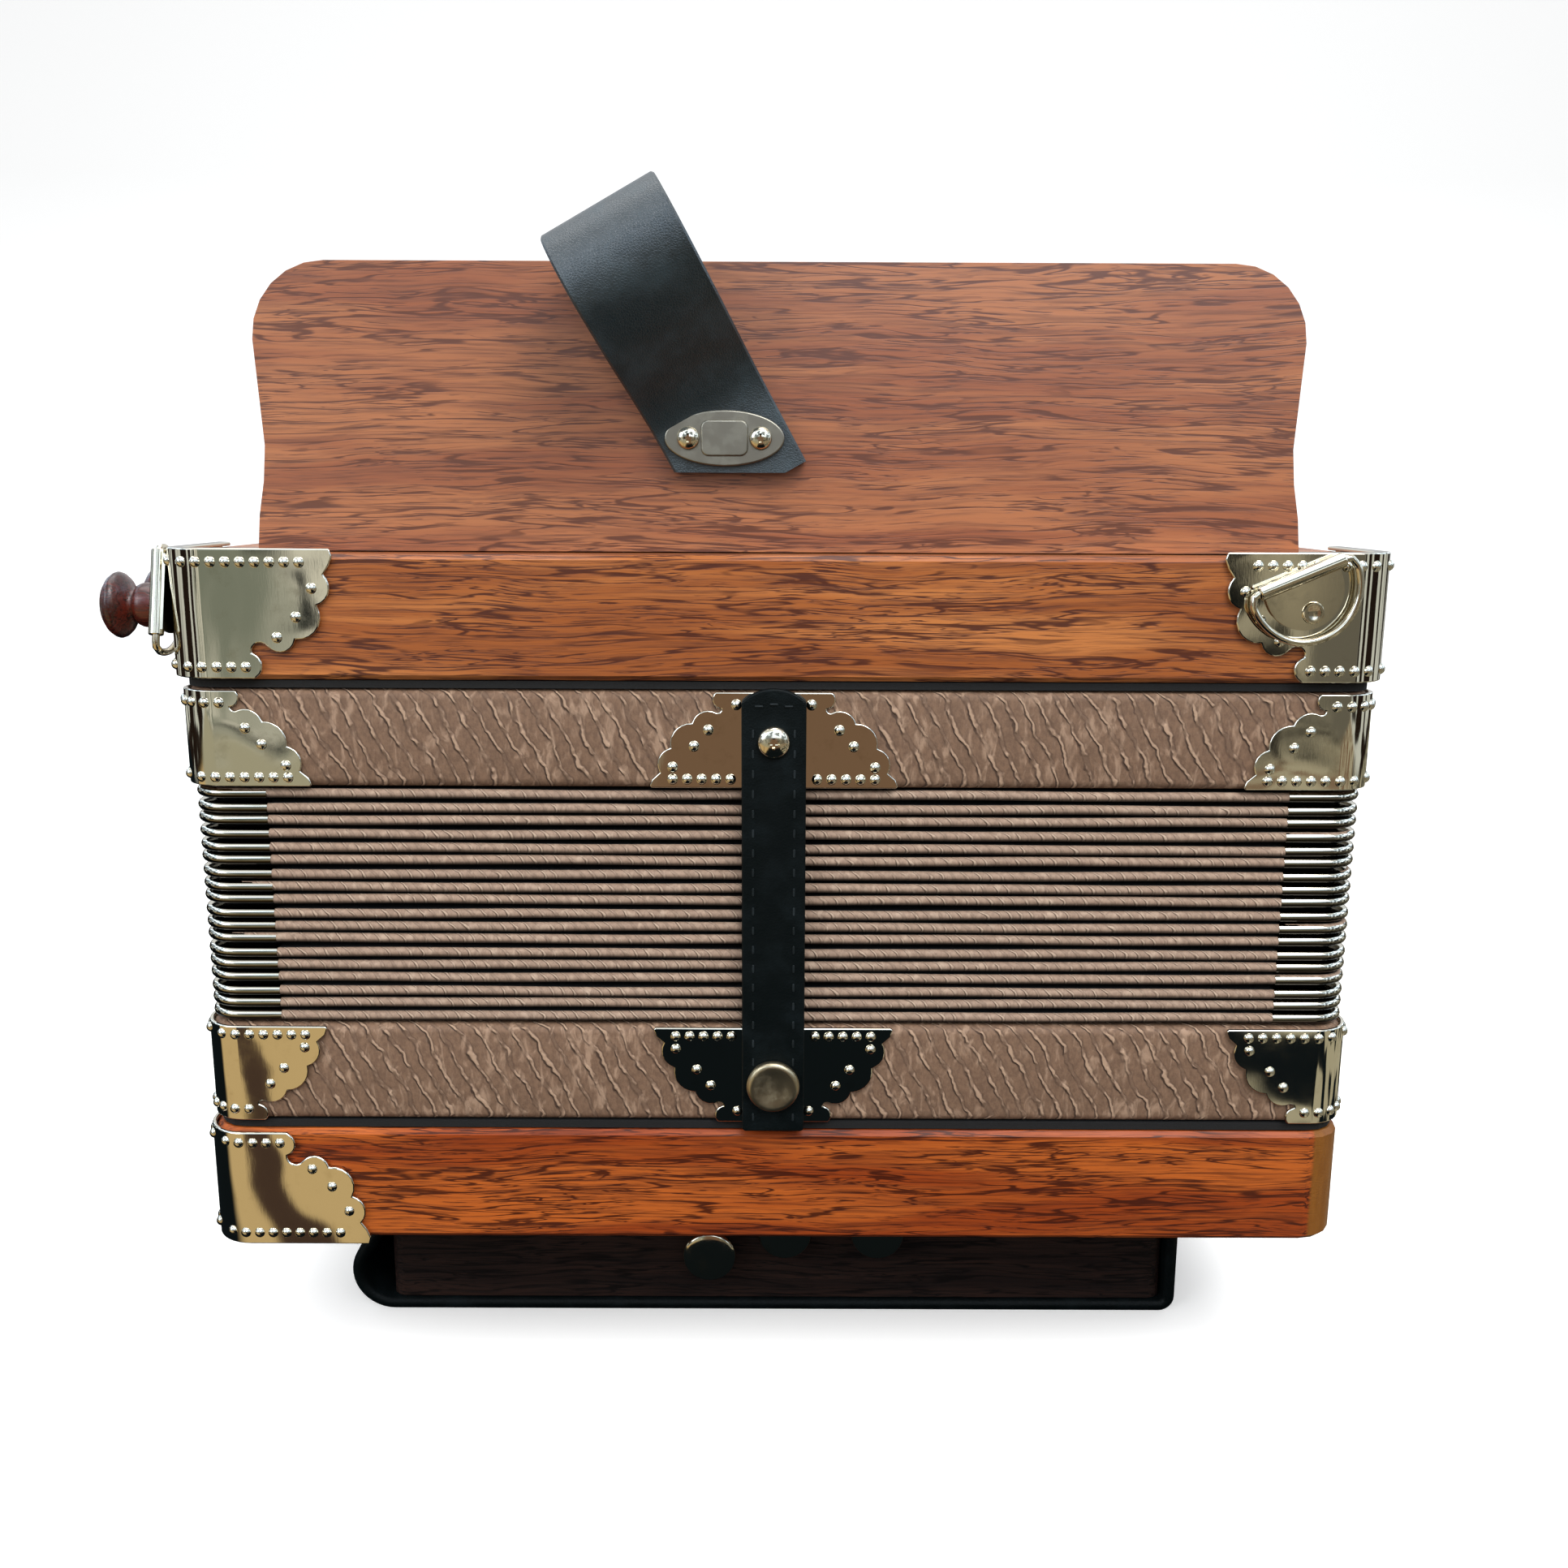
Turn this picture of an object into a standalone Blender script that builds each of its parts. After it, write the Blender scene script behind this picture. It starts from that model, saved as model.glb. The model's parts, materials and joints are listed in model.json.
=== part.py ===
# Diatonic button accordion, one treble row of ten keys with four stops.
# It stands on its bass end: +Z is up through the bellows, -Y is the player's side, +X is to the right there.
# The origin is the middle of the face it stands on, the underside of the hand strap.
# Blender 4.5, metres. Build it with: blender --background --python part.py

import math

import bmesh
import bpy
from mathutils import Matrix, Vector

for old in list(bpy.data.objects):
    bpy.data.objects.remove(old, do_unlink=True)

MM = 0.001

# Overall body
CASE_WIDTH = 294 * MM
CASE_DEPTH = 170 * MM
CASE_CORNER = 10 * MM
CASE_WALL = 9 * MM
CASE_EDGE = 1.2 * MM
FRAME_INSET = 1.0 * MM
FRAME_WALL = 9 * MM
FRAME_EDGE = 1.5 * MM
GASKET_INSET = 1.5 * MM
GASKET_WALL = 7 * MM

# Heights, from the floor up
HAND_STRAP_THICK = 3.7 * MM
BASS_BOX_HEIGHT = 41 * MM
BASS_CASE_HEIGHT = 30 * MM
GASKET_HEIGHT = 2.4 * MM
BASS_FRAME_HEIGHT = 26 * MM
BELLOWS_HEIGHT = 61.6 * MM
TREBLE_FRAME_HEIGHT = 24.2 * MM
TREBLE_CASE_HEIGHT = 30 * MM
SEAT_GAP = 0.3 * MM
JOIN_OVERLAP = 0.2 * MM

# Bellows
FOLD_COUNT = 18
FOLD_DEPTH = 11 * MM
FOLD_INSET = 0.4 * MM
BELLOWS_BORE_INSET = 19 * MM
CORNER_STEPS = 4
WELD_DISTANCE = 1e-7
RIM_FROM, RIM_TO = 0.30, 0.70
LEAST_RADIUS = 1.0 * MM

# Sheet-metal trim
PLATE_THICK = 1.0 * MM
PLATE_SINK = 0.3 * MM
PLATE_LIP = 2.6 * MM
PLATE_MARGIN = 0.3 * MM
CASE_PLATE_REACH = 41.5 * MM
CASE_PLATE_FOOT = 19.5 * MM
FRAME_PLATE_REACH = 32 * MM
FRAME_PLATE_FOOT = 15 * MM
CENTRE_PLATE_REACH = 30.5 * MM
CENTRE_PLATE_FOOT = 14.5 * MM
LOBE_STEPS = 3
LOBE_BULGES = (2.2 * MM, 2.6 * MM, 2.4 * MM)

# Treble action
ACTION_BOARD_THICK = 7 * MM
ACTION_BOARD_LEDGE = 4 * MM
KEY_COUNT = 10
KEY_PITCH = 22 * MM
RANK_COUNT = 4
RANK_PITCH = 18 * MM
FIRST_RANK_Y = -30 * MM
TONE_HOLE_WIDTH = 7 * MM
TONE_HOLE_DEPTH = 9 * MM
BOARD_THICK = 15 * MM
BOARD_BACK_OFFSET = 12 * MM
BOARD_HEIGHT = 67.7 * MM
BOARD_BASE_HALF = 127.5 * MM
BOARD_WAIST_HALF = 124.3 * MM
BOARD_WAIST_HEIGHT = 25 * MM
BOARD_SHOULDER_HALF = 125.6 * MM
BOARD_CORNER = 18 * MM
BOARD_EDGE = 1.5 * MM
BOARD_BACK_WALL = 2 * MM
SLOT_CLEARANCE = 1.0 * MM
SLOT_FOOT = 8 * MM
SLOT_TOP_MARGIN = 4 * MM
LEVER_WIDTH = 3 * MM
LEVER_BAR = 4 * MM
AXLE_RADIUS = 2 * MM
AXLE_CLEARANCE = 0.3 * MM
AXLE_HEIGHT = 22 * MM
AXLE_END_MARGIN = 3 * MM
HUB_RADIUS = 4.0 * MM
BUTTON_ABOVE_AXLE = 34 * MM
BUTTON_RADIUS = 6.5 * MM
BUTTON_HEAD = 4.5 * MM
BUTTON_STAND_OFF = 4 * MM
BUTTON_STEM_RADIUS = 2.2 * MM
PALLET_WIDTH = 15 * MM
PALLET_THICK = 6 * MM
PALLET_OVERHANG = 6 * MM

# Stops: knob, rod and the slide that opens or shuts one rank of holes
STOP_PITCH = 26 * MM
FIRST_STOP_Y = -44 * MM
STOP_ROD_RADIUS = 2 * MM
STOP_ROD_CLEARANCE = 0.4 * MM
STOP_ROD_DROP = 15.5 * MM
STOP_TRAVEL = 8 * MM
STOP_STAND_OFF = 15 * MM
KNOB_RADIUS = 8.8 * MM
KNOB_LENGTH = 17.5 * MM
KNOB_ROD_START = 9 * MM
# Share of the radius and of the length, from the outer end to the neck
KNOB_PROFILE = (
    (0.0, 0.0), (0.5, 0.03), (0.85, 0.1), (1.0, 0.21), (0.85, 0.33), (0.5, 0.41), (0.47, 0.47), (0.64, 0.54),
    (0.68, 0.66), (0.6, 0.86), (0.42, 1.0), (0.0, 1.0),
)
SLIDE_THICK = 2 * MM
SLIDE_WIDTH = 12 * MM
SLIDE_END_MARGIN = 10 * MM
SLIDE_HOLE_MARGIN = 1 * MM
DRAWBAR_THICK = 4 * MM

# Reed blocks
REED_BLOCK_HEIGHT = 38 * MM
REED_BLOCK_MARGIN = 4.5 * MM
REED_BLOCK_END = 12 * MM
REED_CHAMBER_DEPTH = 26 * MM
BASS_REED_LENGTH = 150 * MM
BASS_REED_DEPTH = 46 * MM
BASS_REED_HEIGHT = 34 * MM
BASS_CHAMBER_DEPTH = 24 * MM

# Bass end
BASS_FLOOR_THICK = 7 * MM
BOX_LENGTH = 226 * MM
BOX_DEPTH = 90 * MM
BOX_WALL = 6 * MM
BOX_FLOOR = 5 * MM
BOX_CORNER = 4 * MM
BOX_EDGE = 3 * MM
BASS_BUTTON_RADIUS = 7.7 * MM
BASS_BUTTON_HEAD = 3 * MM
BASS_BUTTON_TRAVEL = 4 * MM
BASS_STEM_RADIUS = 2.5 * MM
BASS_STEM_CLEARANCE = 0.4 * MM
BASS_NOSE_RADIUS = 1 * MM
BASS_NOSE_LENGTH = 5 * MM
BASS_BUTTON_X = (2.3 * MM, 28.9 * MM)
AIR_BUTTON_X = -19.4 * MM
BASS_BUTTON_DROP = 17.5 * MM
AIR_BUTTON_DROP = 24.4 * MM
BASS_AXLE_INSIDE = 14 * MM
BASS_AXLE_HEIGHT = 4.6 * MM
BASS_HUB_RADIUS = 3.4 * MM
BASS_AXLE_RADIUS = 1.5 * MM
BASS_AXLE_EAR = 4 * MM
BASS_EAR_SINK = 1 * MM
BASS_LEVER_WIDTH = 5 * MM
BASS_LEVER_PAD = 12 * MM
BASS_PALLET_SIZE = 20 * MM
BASS_PALLET_THICK = 4 * MM
BASS_PALLET_AHEAD = 30 * MM
BASS_HOLE_SIZE = 13 * MM

# Hand strap round the bass box
HAND_STRAP_WIDTH = 92 * MM
HAND_STRAP_BEND = 10.2 * MM
HAND_STRAP_SNUG_BEND = 2.6 * MM
HAND_STRAP_SLACK = 7.35 * MM
HAND_STRAP_SLACK_TOP = 30 * MM
HAND_STRAP_SLACK_WAIST = 23.5 * MM
HAND_STRAP_TOP_BEND = 4 * MM
HAND_STRAP_TAIL = 13 * MM
HAND_STRAP_ANCHOR = 9 * MM
ANCHOR_THICK = 1.5 * MM

# Bellows straps
STRAP_WIDTH = 15.7 * MM
STRAP_THICK = 2.2 * MM
STRAP_X = -1.0 * MM
STRAP_OVER_TOP = 0.9 * MM
STRAP_TOP_RISE = 3.3 * MM
STRAP_TOP_STEPS = 6
STRAP_OVER_FOOT = 1.2 * MM
STRAP_SCREW_DROP = 12.1 * MM
STRAP_SCREW_RADIUS = 4 * MM
STRAP_SCREW_HEAD = 2.2 * MM
STRAP_HINGE_DROP = 19 * MM
SNAP_HEIGHT = 11.6 * MM
SNAP_RADIUS = 6.7 * MM
SNAP_THICK = 2.4 * MM
STUD_RADIUS = 3.2 * MM
STUD_CLEARANCE = 0.6 * MM

# Thumb strap
THUMB_STRAP_WIDTH = 29 * MM
THUMB_STRAP_THICK = 2.0 * MM
THUMB_STRAP_LEAN = math.radians(29)
THUMB_LOOP_LENGTH = 43 * MM
THUMB_LOOP_RADIUS = 13.5 * MM
THUMB_LOOP_START = 13 * MM
THUMB_TAIL = 12 * MM
THUMB_FILLET = 7 * MM
THUMB_TRIM = 1.5 * MM
THUMB_LOOP_STEPS = 14
THUMB_X = -13 * MM
THUMB_HEIGHT = 27 * MM
THUMB_PLATE_LENGTH = 28.7 * MM
THUMB_PLATE_WIDTH = 13 * MM
THUMB_PLATE_THICK = 1.5 * MM
THUMB_SCREW_SPACING = 17.2 * MM
THUMB_SCREW_RADIUS = 2.6 * MM
THUMB_SCREW_HEAD = 1.4 * MM
SCREW_SINK = 0.5 * MM

# Shoulder-strap brackets with their rings
BRACKET_LENGTH = 21 * MM
BRACKET_THICK = 1.2 * MM
BRACKET_SHOULDER = 2.5 * MM
BRACKET_TUBE_RADIUS = 1.8 * MM
BRACKET_BORE_RADIUS = 1.25 * MM
BARREL_LIFT = 0.2 * MM
BRACKET_LOBE_RADIUS = 3.4 * MM
BRACKET_REACH = 9.8 * MM
BRACKET_DROP = 4.2 * MM
BRACKET_FROM_END = 23.8 * MM
BRACKET_FROM_REAR = 6.3 * MM
LEFT_BRACKET_DROP = 9.6 * MM
LEFT_BRACKET_LEAN = math.radians(16)
LEFT_RING_SLIDE = 1.2 * MM
BRACKET_END_MARGIN = 0.5 * MM
BRACKET_LEAN = math.radians(23)
BRACKET_RIVET_RADIUS = 2.4 * MM
BRACKET_RIVET_HEAD = 1.0 * MM
RING_WIRE_RADIUS = 0.9 * MM
RING_HALF_WIDTH = 12.9 * MM
RING_DEPTH = 15.8 * MM
RING_END_BEND = 2.0 * MM
RING_END_DROP = 0.6 * MM
RING_ARC_START = 2.5 * MM
RING_STEPS = 12

# Levels that follow from the heights
BOX_BOTTOM = HAND_STRAP_THICK + SEAT_GAP
BASS_CASE_BOTTOM = BOX_BOTTOM + BASS_BOX_HEIGHT
BASS_CASE_TOP = BASS_CASE_BOTTOM + BASS_CASE_HEIGHT
BASS_FRAME_BOTTOM = BASS_CASE_TOP + GASKET_HEIGHT
BASS_FRAME_TOP = BASS_FRAME_BOTTOM + BASS_FRAME_HEIGHT
TREBLE_FRAME_BOTTOM = BASS_FRAME_TOP + BELLOWS_HEIGHT
TREBLE_FRAME_TOP = TREBLE_FRAME_BOTTOM + TREBLE_FRAME_HEIGHT
TREBLE_CASE_BOTTOM = TREBLE_FRAME_TOP + GASKET_HEIGHT
TREBLE_CASE_TOP = TREBLE_CASE_BOTTOM + TREBLE_CASE_HEIGHT
ACTION_BOARD_BOTTOM = TREBLE_CASE_TOP - ACTION_BOARD_THICK
REED_BLOCK_TOP = ACTION_BOARD_BOTTOM - SLIDE_THICK - 2 * SEAT_GAP

# Plan sizes that follow
FRAME_WIDTH = CASE_WIDTH - 2 * FRAME_INSET
FRAME_DEPTH = CASE_DEPTH - 2 * FRAME_INSET
FRAME_CORNER = CASE_CORNER - FRAME_INSET
REAR_Y = -CASE_DEPTH / 2
BOARD_BACK_Y = REAR_Y + BOARD_BACK_OFFSET
BOARD_FRONT_Y = BOARD_BACK_Y + BOARD_THICK
BOARD_BOTTOM = TREBLE_CASE_TOP + SEAT_GAP
AXLE_Y = BOARD_BACK_Y + BOARD_THICK / 2
AXLE_Z = BOARD_BOTTOM + AXLE_HEIGHT
KEY_X = [(i - (KEY_COUNT - 1) / 2) * KEY_PITCH for i in range(KEY_COUNT)]
RANK_Y = [FIRST_RANK_Y + i * RANK_PITCH for i in range(RANK_COUNT)]
STOP_Y = [FIRST_STOP_Y + i * STOP_PITCH for i in range(RANK_COUNT)]
STOP_Z = TREBLE_CASE_TOP - STOP_ROD_DROP
BASS_AXLE_Y = -BOX_DEPTH / 2 + BOX_WALL + BASS_AXLE_INSIDE
BASS_AXLE_Z = BOX_BOTTOM + BOX_FLOOR + BASS_AXLE_HEIGHT

# The four upright corners, as signs of X and Y
CORNERS = (("rear_left", (-1, -1)), ("rear_right", (1, -1)), ("front_left", (-1, 1)), ("front_right", (1, 1)))

# Turning a flat drawing into the upright planes
TO_XZ = Matrix(((1, 0, 0, 0), (0, 0, -1, 0), (0, 1, 0, 0), (0, 0, 0, 1)))
TO_YZ = Matrix(((0, 0, 1, 0), (1, 0, 0, 0), (0, 1, 0, 0), (0, 0, 0, 1)))

PARTS = bpy.data.collections.new("diatonic_accordion")
CUTTERS = bpy.data.collections.new("cutters")
bpy.context.scene.collection.children.link(PARTS)
bpy.context.scene.collection.children.link(CUTTERS)


def finish(name, colour, roughness, metallic=0.0):
    material = bpy.data.materials.new(name)
    material.use_nodes = True
    shader = material.node_tree.nodes["Principled BSDF"]
    shader.inputs["Base Color"].default_value = (*colour, 1.0)
    shader.inputs["Roughness"].default_value = roughness
    shader.inputs["Metallic"].default_value = metallic
    return material


WALNUT = finish("walnut_laminate", (0.33, 0.12, 0.06), 0.45)
REDWOOD = finish("red_wood_laminate", (0.38, 0.10, 0.035), 0.45)
DARK_WOOD = finish("dark_stained_wood", (0.05, 0.025, 0.018), 0.5)
KNOB_WOOD = finish("turned_dark_wood", (0.12, 0.03, 0.02), 0.35)
PALE_WOOD = finish("spruce", (0.62, 0.45, 0.27), 0.6)
TAUPE = finish("taupe_leatherette", (0.21, 0.15, 0.11), 0.6)
BLACK_FELT = finish("black_gasket_felt", (0.012, 0.012, 0.012), 0.9)
NICKEL = finish("nickel_plate", (0.66, 0.62, 0.56), 0.22, 1.0)
STEEL = finish("steel", (0.55, 0.55, 0.55), 0.3, 1.0)
BLACK_LEATHER = finish("black_leather", (0.012, 0.014, 0.016), 0.5)


def to_object(name, bm, material=None, group=None, origin=Vector((0, 0, 0))):
    """Turn a mesh in world places into an object whose origin is at the given point."""
    bmesh.ops.recalc_face_normals(bm, faces=bm.faces[:])
    bmesh.ops.translate(bm, verts=bm.verts[:], vec=-Vector(origin))
    mesh = bpy.data.meshes.new(name)
    bm.to_mesh(mesh)
    bm.free()
    mesh.shade_smooth()
    mesh.set_sharp_from_angle(angle=math.radians(35))
    if material:
        mesh.materials.append(material)
    obj = bpy.data.objects.new(name, mesh)
    obj.location = origin
    (group or PARTS).objects.link(obj)
    return obj


def tool(name, bm):
    """A helper solid for a Boolean, hidden from renders."""
    obj = to_object(name, bm, group=CUTTERS)
    obj.hide_render = True
    obj.display_type = "WIRE"
    return obj


def combine(obj, operation, *tools):
    for other in tools:
        modifier = obj.modifiers.new(other.name, "BOOLEAN")
        modifier.operation = operation
        modifier.solver = "EXACT"
        modifier.object = other


def baked(obj):
    """Apply the modifiers of an object whose mesh others will share."""
    graph = bpy.context.evaluated_depsgraph_get()
    mesh = bpy.data.meshes.new_from_object(obj.evaluated_get(graph))
    obj.modifiers.clear()
    obj.data = mesh
    return obj


def add_box(bm, size, centre, corner=0.0, edge=0.0, steps=CORNER_STEPS):
    """A box whose upright edges are rounded by corner and whose rims are rounded by edge."""
    new = bmesh.new()
    bmesh.ops.create_cube(new, size=1.0, matrix=Matrix.LocRotScale(Vector(centre), None, Vector(size)))
    if corner > 0:
        upright = [e for e in new.edges if abs(e.verts[0].co.z - e.verts[1].co.z) > 1e-6]
        bmesh.ops.bevel(new, geom=upright, offset=corner, segments=steps, profile=0.5, affect="EDGES")
    if edge > 0:
        rims = [e for e in new.edges if abs(e.verts[0].co.z - e.verts[1].co.z) < 1e-7]
        rims = [e for e in rims if len({round(f.normal.z, 3) for f in e.link_faces}) > 1]
        bmesh.ops.bevel(new, geom=rims, offset=edge, segments=1, profile=0.5, affect="EDGES")
    append(bm, new)


def append(bm, other, matrix=Matrix.Identity(4)):
    """Add one mesh to another, turned and moved by the matrix."""
    other.transform(matrix)
    scratch = bpy.data.meshes.new("scratch")
    other.to_mesh(scratch)
    other.free()
    bm.from_mesh(scratch)
    bpy.data.meshes.remove(scratch)


def add_rod(bm, radius, start, end, segments=12):
    start = Vector(start)
    run = Vector(end) - start
    turn = run.to_track_quat("Z", "Y").to_matrix().to_4x4()
    bmesh.ops.create_cone(
        bm,
        cap_ends=True,
        segments=segments,
        radius1=radius,
        radius2=radius,
        depth=run.length,
        matrix=Matrix.Translation(start + run / 2) @ turn,
    )


def turned(profile, steps):
    """A solid of revolution round Z. The profile runs from the axis at the top to the axis at the foot."""
    mesh = bpy.data.meshes.new("profile")
    mesh.from_pydata(
        [(radius, 0, height) for radius, height in profile],
        [(i, i + 1) for i in range(len(profile) - 1)],
        [],
    )
    obj = bpy.data.objects.new("profile", mesh)
    CUTTERS.objects.link(obj)
    screw = obj.modifiers.new("turn", "SCREW")
    screw.angle = 2 * math.pi
    screw.steps = steps
    screw.render_steps = steps
    screw.use_merge_vertices = True
    screw.merge_threshold = 0.00001
    bm = read_evaluated(obj)
    bmesh.ops.remove_doubles(bm, verts=bm.verts[:], dist=1e-6)
    bmesh.ops.recalc_face_normals(bm, faces=bm.faces[:])
    return bm


def read_evaluated(obj):
    """The evaluated mesh of a temporary object, which is removed."""
    graph = bpy.context.evaluated_depsgraph_get()
    mesh = bpy.data.meshes.new_from_object(obj.evaluated_get(graph))
    bm = bmesh.new()
    bm.from_mesh(mesh)
    bpy.data.meshes.remove(mesh)
    bpy.data.objects.remove(obj, do_unlink=True)
    return bm


def slab(loops, thickness):
    """A flat sheet of the given thickness, drawn as closed outlines in XY and centred on Z = 0."""
    curve = bpy.data.curves.new("outline", "CURVE")
    curve.dimensions = "2D"
    curve.fill_mode = "BOTH"
    curve.extrude = thickness / 2
    for loop in loops:
        spline = curve.splines.new("POLY")
        spline.points.add(len(loop) - 1)
        for point, (x, y) in zip(spline.points, loop):
            point.co = (x, y, 0, 1)
        spline.use_cyclic_u = True
    obj = bpy.data.objects.new("outline", curve)
    CUTTERS.objects.link(obj)
    bm = read_evaluated(obj)
    bmesh.ops.remove_doubles(bm, verts=bm.verts[:], dist=WELD_DISTANCE)
    bmesh.ops.dissolve_limit(bm, angle_limit=math.radians(0.5), verts=bm.verts[:], edges=bm.edges[:])
    bmesh.ops.recalc_face_normals(bm, faces=bm.faces[:])
    return bm


def circle(centre, radius, count, start=0.0):
    return [
        (
            centre[0] + radius * math.cos(start + 2 * math.pi * i / count),
            centre[1] + radius * math.sin(start + 2 * math.pi * i / count),
        )
        for i in range(count)
    ]


def arc_between(a, b, bulge, steps):
    """Points after a, up to and with b, on an arc that stands bulge to the right of the way from a to b."""
    a, b = Vector(a), Vector(b)
    chord = b - a
    side = Vector((chord.y, -chord.x)).normalized()
    points = []
    for i in range(1, steps + 1):
        t = i / steps
        points.append(tuple(a + chord * t + side * (bulge * 4 * t * (1 - t))))
    return points


def scalloped_edge(reach, foot, height):
    """Half of a trim plate's outline: from the tip at the long edge, over three lobes, to the short edge.
    The first value is the distance along the face, the second the distance from the long edge."""
    deep = reach - foot
    tip = (reach, 0.0)
    cusps = (
        (reach - 0.05 * deep, 0.10 * height),
        (reach - 0.10 * deep, 0.15 * height),
        (reach - 0.22 * deep, 0.43 * height),
        (reach - 0.54 * deep, 0.70 * height),
        (foot + 0.02 * deep, 0.80 * height),
    )
    points = [tip, cusps[0]]
    for a, b, bulge in zip(cusps[1:], cusps[2:], LOBE_BULGES):
        points.append(a)
        points += arc_between(a, b, bulge, LOBE_STEPS)[:-1]
    points.append(cusps[-1])
    points.append((foot + 0.06 * deep, 0.95 * height))
    points.append((foot, height))
    return points


def corner_plate(reach, foot, height, flip, lip):
    """A flat corner plate, symmetric about x = 0, from y = 0 to its height, to be bent round a corner.
    Flipped, its long edge is at the foot. A lip stands past the long edge and is folded over later."""
    half = scalloped_edge(reach, foot, height)
    if lip > 0:
        half = [(reach - lip / 2, -lip)] + half
    outline = [(u, v) for u, v in half] + [(-u, v) for u, v in reversed(half)]
    if not flip:
        outline = [(u, height - v) for u, v in reversed(outline)]
    return outline


def bend_corner(bm, side, width, depth, corner, base, gap, fold=None):
    """Wrap a flat plate round the case corner named by side. A fold is a level and the way past it,
    and what lies past it is folded inwards."""
    arc = corner * math.pi / 2
    for step in range(CORNER_STEPS + 1):
        at = arc * (step / CORNER_STEPS - 0.5)
        cut_flat(bm, (at, 0, 0), (1, 0, 0))
    if fold:
        cut_flat(bm, (0, fold[0], 0), (0, 1, 0))
    centre = Vector((side[0] * (width / 2 - corner), side[1] * (depth / 2 - corner)))
    for vert in bm.verts:
        s, height, out = vert.co
        out += gap
        rise = height
        if fold:
            level, way = fold
            past = (height - level) * way
            if past > -WELD_DISTANCE:
                rise = level + way * out
                out = out if past < WELD_DISTANCE else -past
        if s < -arc / 2:
            plan = centre + Vector((side[0] * (s + arc / 2), side[1] * (corner + out)))
        elif s > arc / 2:
            plan = centre + Vector((side[0] * (corner + out), -side[1] * (s - arc / 2)))
        else:
            angle = math.pi / 4 + math.pi / 2 * s / arc
            turn = Vector((side[0] * math.sin(angle), side[1] * math.cos(angle)))
            plan = centre + turn * (corner + out)
        vert.co = (plan.x, plan.y, base + rise)
    bmesh.ops.recalc_face_normals(bm, faces=bm.faces[:])
    return bm


def cut_flat(bm, point, normal):
    geometry = bm.verts[:] + bm.edges[:] + bm.faces[:]
    bmesh.ops.bisect_plane(bm, geom=geometry, plane_co=point, plane_no=normal, dist=WELD_DISTANCE)


def ring(name, width, depth, corner, wall, bottom, height, edge, material):
    """An open frame: four walls with rounded corners and a through opening."""
    bm = bmesh.new()
    add_box(bm, (width, depth, height), (0, 0, bottom + height / 2), corner, edge)
    frame = to_object(name, bm, material)
    hole = bmesh.new()
    add_box(hole, (width - 2 * wall, depth - 2 * wall, height * 2), (0, 0, bottom + height / 2))
    combine(frame, "DIFFERENCE", tool(name + "_opening", hole))
    return frame


def plate_arc_shift(corner):
    """From a distance measured along the face from the case end to one measured along the bent plate."""
    return corner * (1 - math.pi / 4)


def frame_plates(name, frame, bottom, height, flip):
    """Corner plates and centre plates of a bellows frame, joined to the frame that carries them."""
    shift = plate_arc_shift(FRAME_CORNER)
    tall = height - 2 * PLATE_MARGIN
    for corner, side in CORNERS:
        outline = corner_plate(FRAME_PLATE_REACH - shift, FRAME_PLATE_FOOT - shift, tall, flip, 0)
        bm = slab([outline], PLATE_THICK + PLATE_SINK)
        middle = (PLATE_THICK - PLATE_SINK) / 2
        bend_corner(bm, side, FRAME_WIDTH, FRAME_DEPTH, FRAME_CORNER, bottom + PLATE_MARGIN, middle)
        combine(frame, "UNION", tool(f"{name}_{corner}", bm))
    for way in (-1, 1):
        outline = corner_plate(CENTRE_PLATE_REACH, CENTRE_PLATE_FOOT, tall, flip, 0)
        bm = slab([outline], PLATE_THICK + PLATE_SINK)
        y = way * (FRAME_DEPTH / 2 + (PLATE_THICK - PLATE_SINK) / 2)
        bm.transform(Matrix.Translation((STRAP_X, y, bottom + PLATE_MARGIN)) @ TO_XZ)
        combine(frame, "UNION", tool(f"{name}_centre_{way}", bm))


def case_corner(name, side, bottom, height, flip):
    """A case's own corner plate, with the narrow lip that folds over the case's outer edge."""
    shift = plate_arc_shift(CASE_CORNER)
    tall = height - PLATE_MARGIN
    outline = corner_plate(CASE_PLATE_REACH - shift, CASE_PLATE_FOOT - shift, tall, flip, PLATE_LIP)
    if flip:
        base, fold = bottom, (0.0, -1)
    else:
        base, fold = bottom + PLATE_MARGIN, (tall, 1)
    bm = slab([outline], PLATE_THICK)
    middle = SEAT_GAP + PLATE_THICK / 2
    bend_corner(bm, side, CASE_WIDTH, CASE_DEPTH, CASE_CORNER, base, middle, fold)
    return to_object(name, bm, NICKEL)


def bellows():
    """A hollow of ribs: each rib is one rim and one valley, both following the rounded plan."""
    bottom = BASS_FRAME_TOP + SEAT_GAP
    top = TREBLE_FRAME_BOTTOM - SEAT_GAP
    pitch = (top - bottom) / FOLD_COUNT
    levels = [(bottom, FOLD_DEPTH)]
    for fold in range(FOLD_COUNT):
        levels.append((bottom + (fold + RIM_FROM) * pitch, FOLD_INSET))
        levels.append((bottom + (fold + RIM_TO) * pitch, FOLD_INSET))
        levels.append((bottom + (fold + 1) * pitch, FOLD_DEPTH))
    bm = bmesh.new()
    rings = [add_ring(bm, inset, level) for level, inset in levels]
    bore = [add_ring(bm, BELLOWS_BORE_INSET, level) for level in (bottom, top)]
    loops = [bore[0]] + rings + [bore[1]]
    for lower, upper in zip(loops, loops[1:]):
        bridge(bm, lower, upper)
    bridge(bm, bore[1], bore[0])
    return to_object("bellows", bm, TAUPE)


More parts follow.
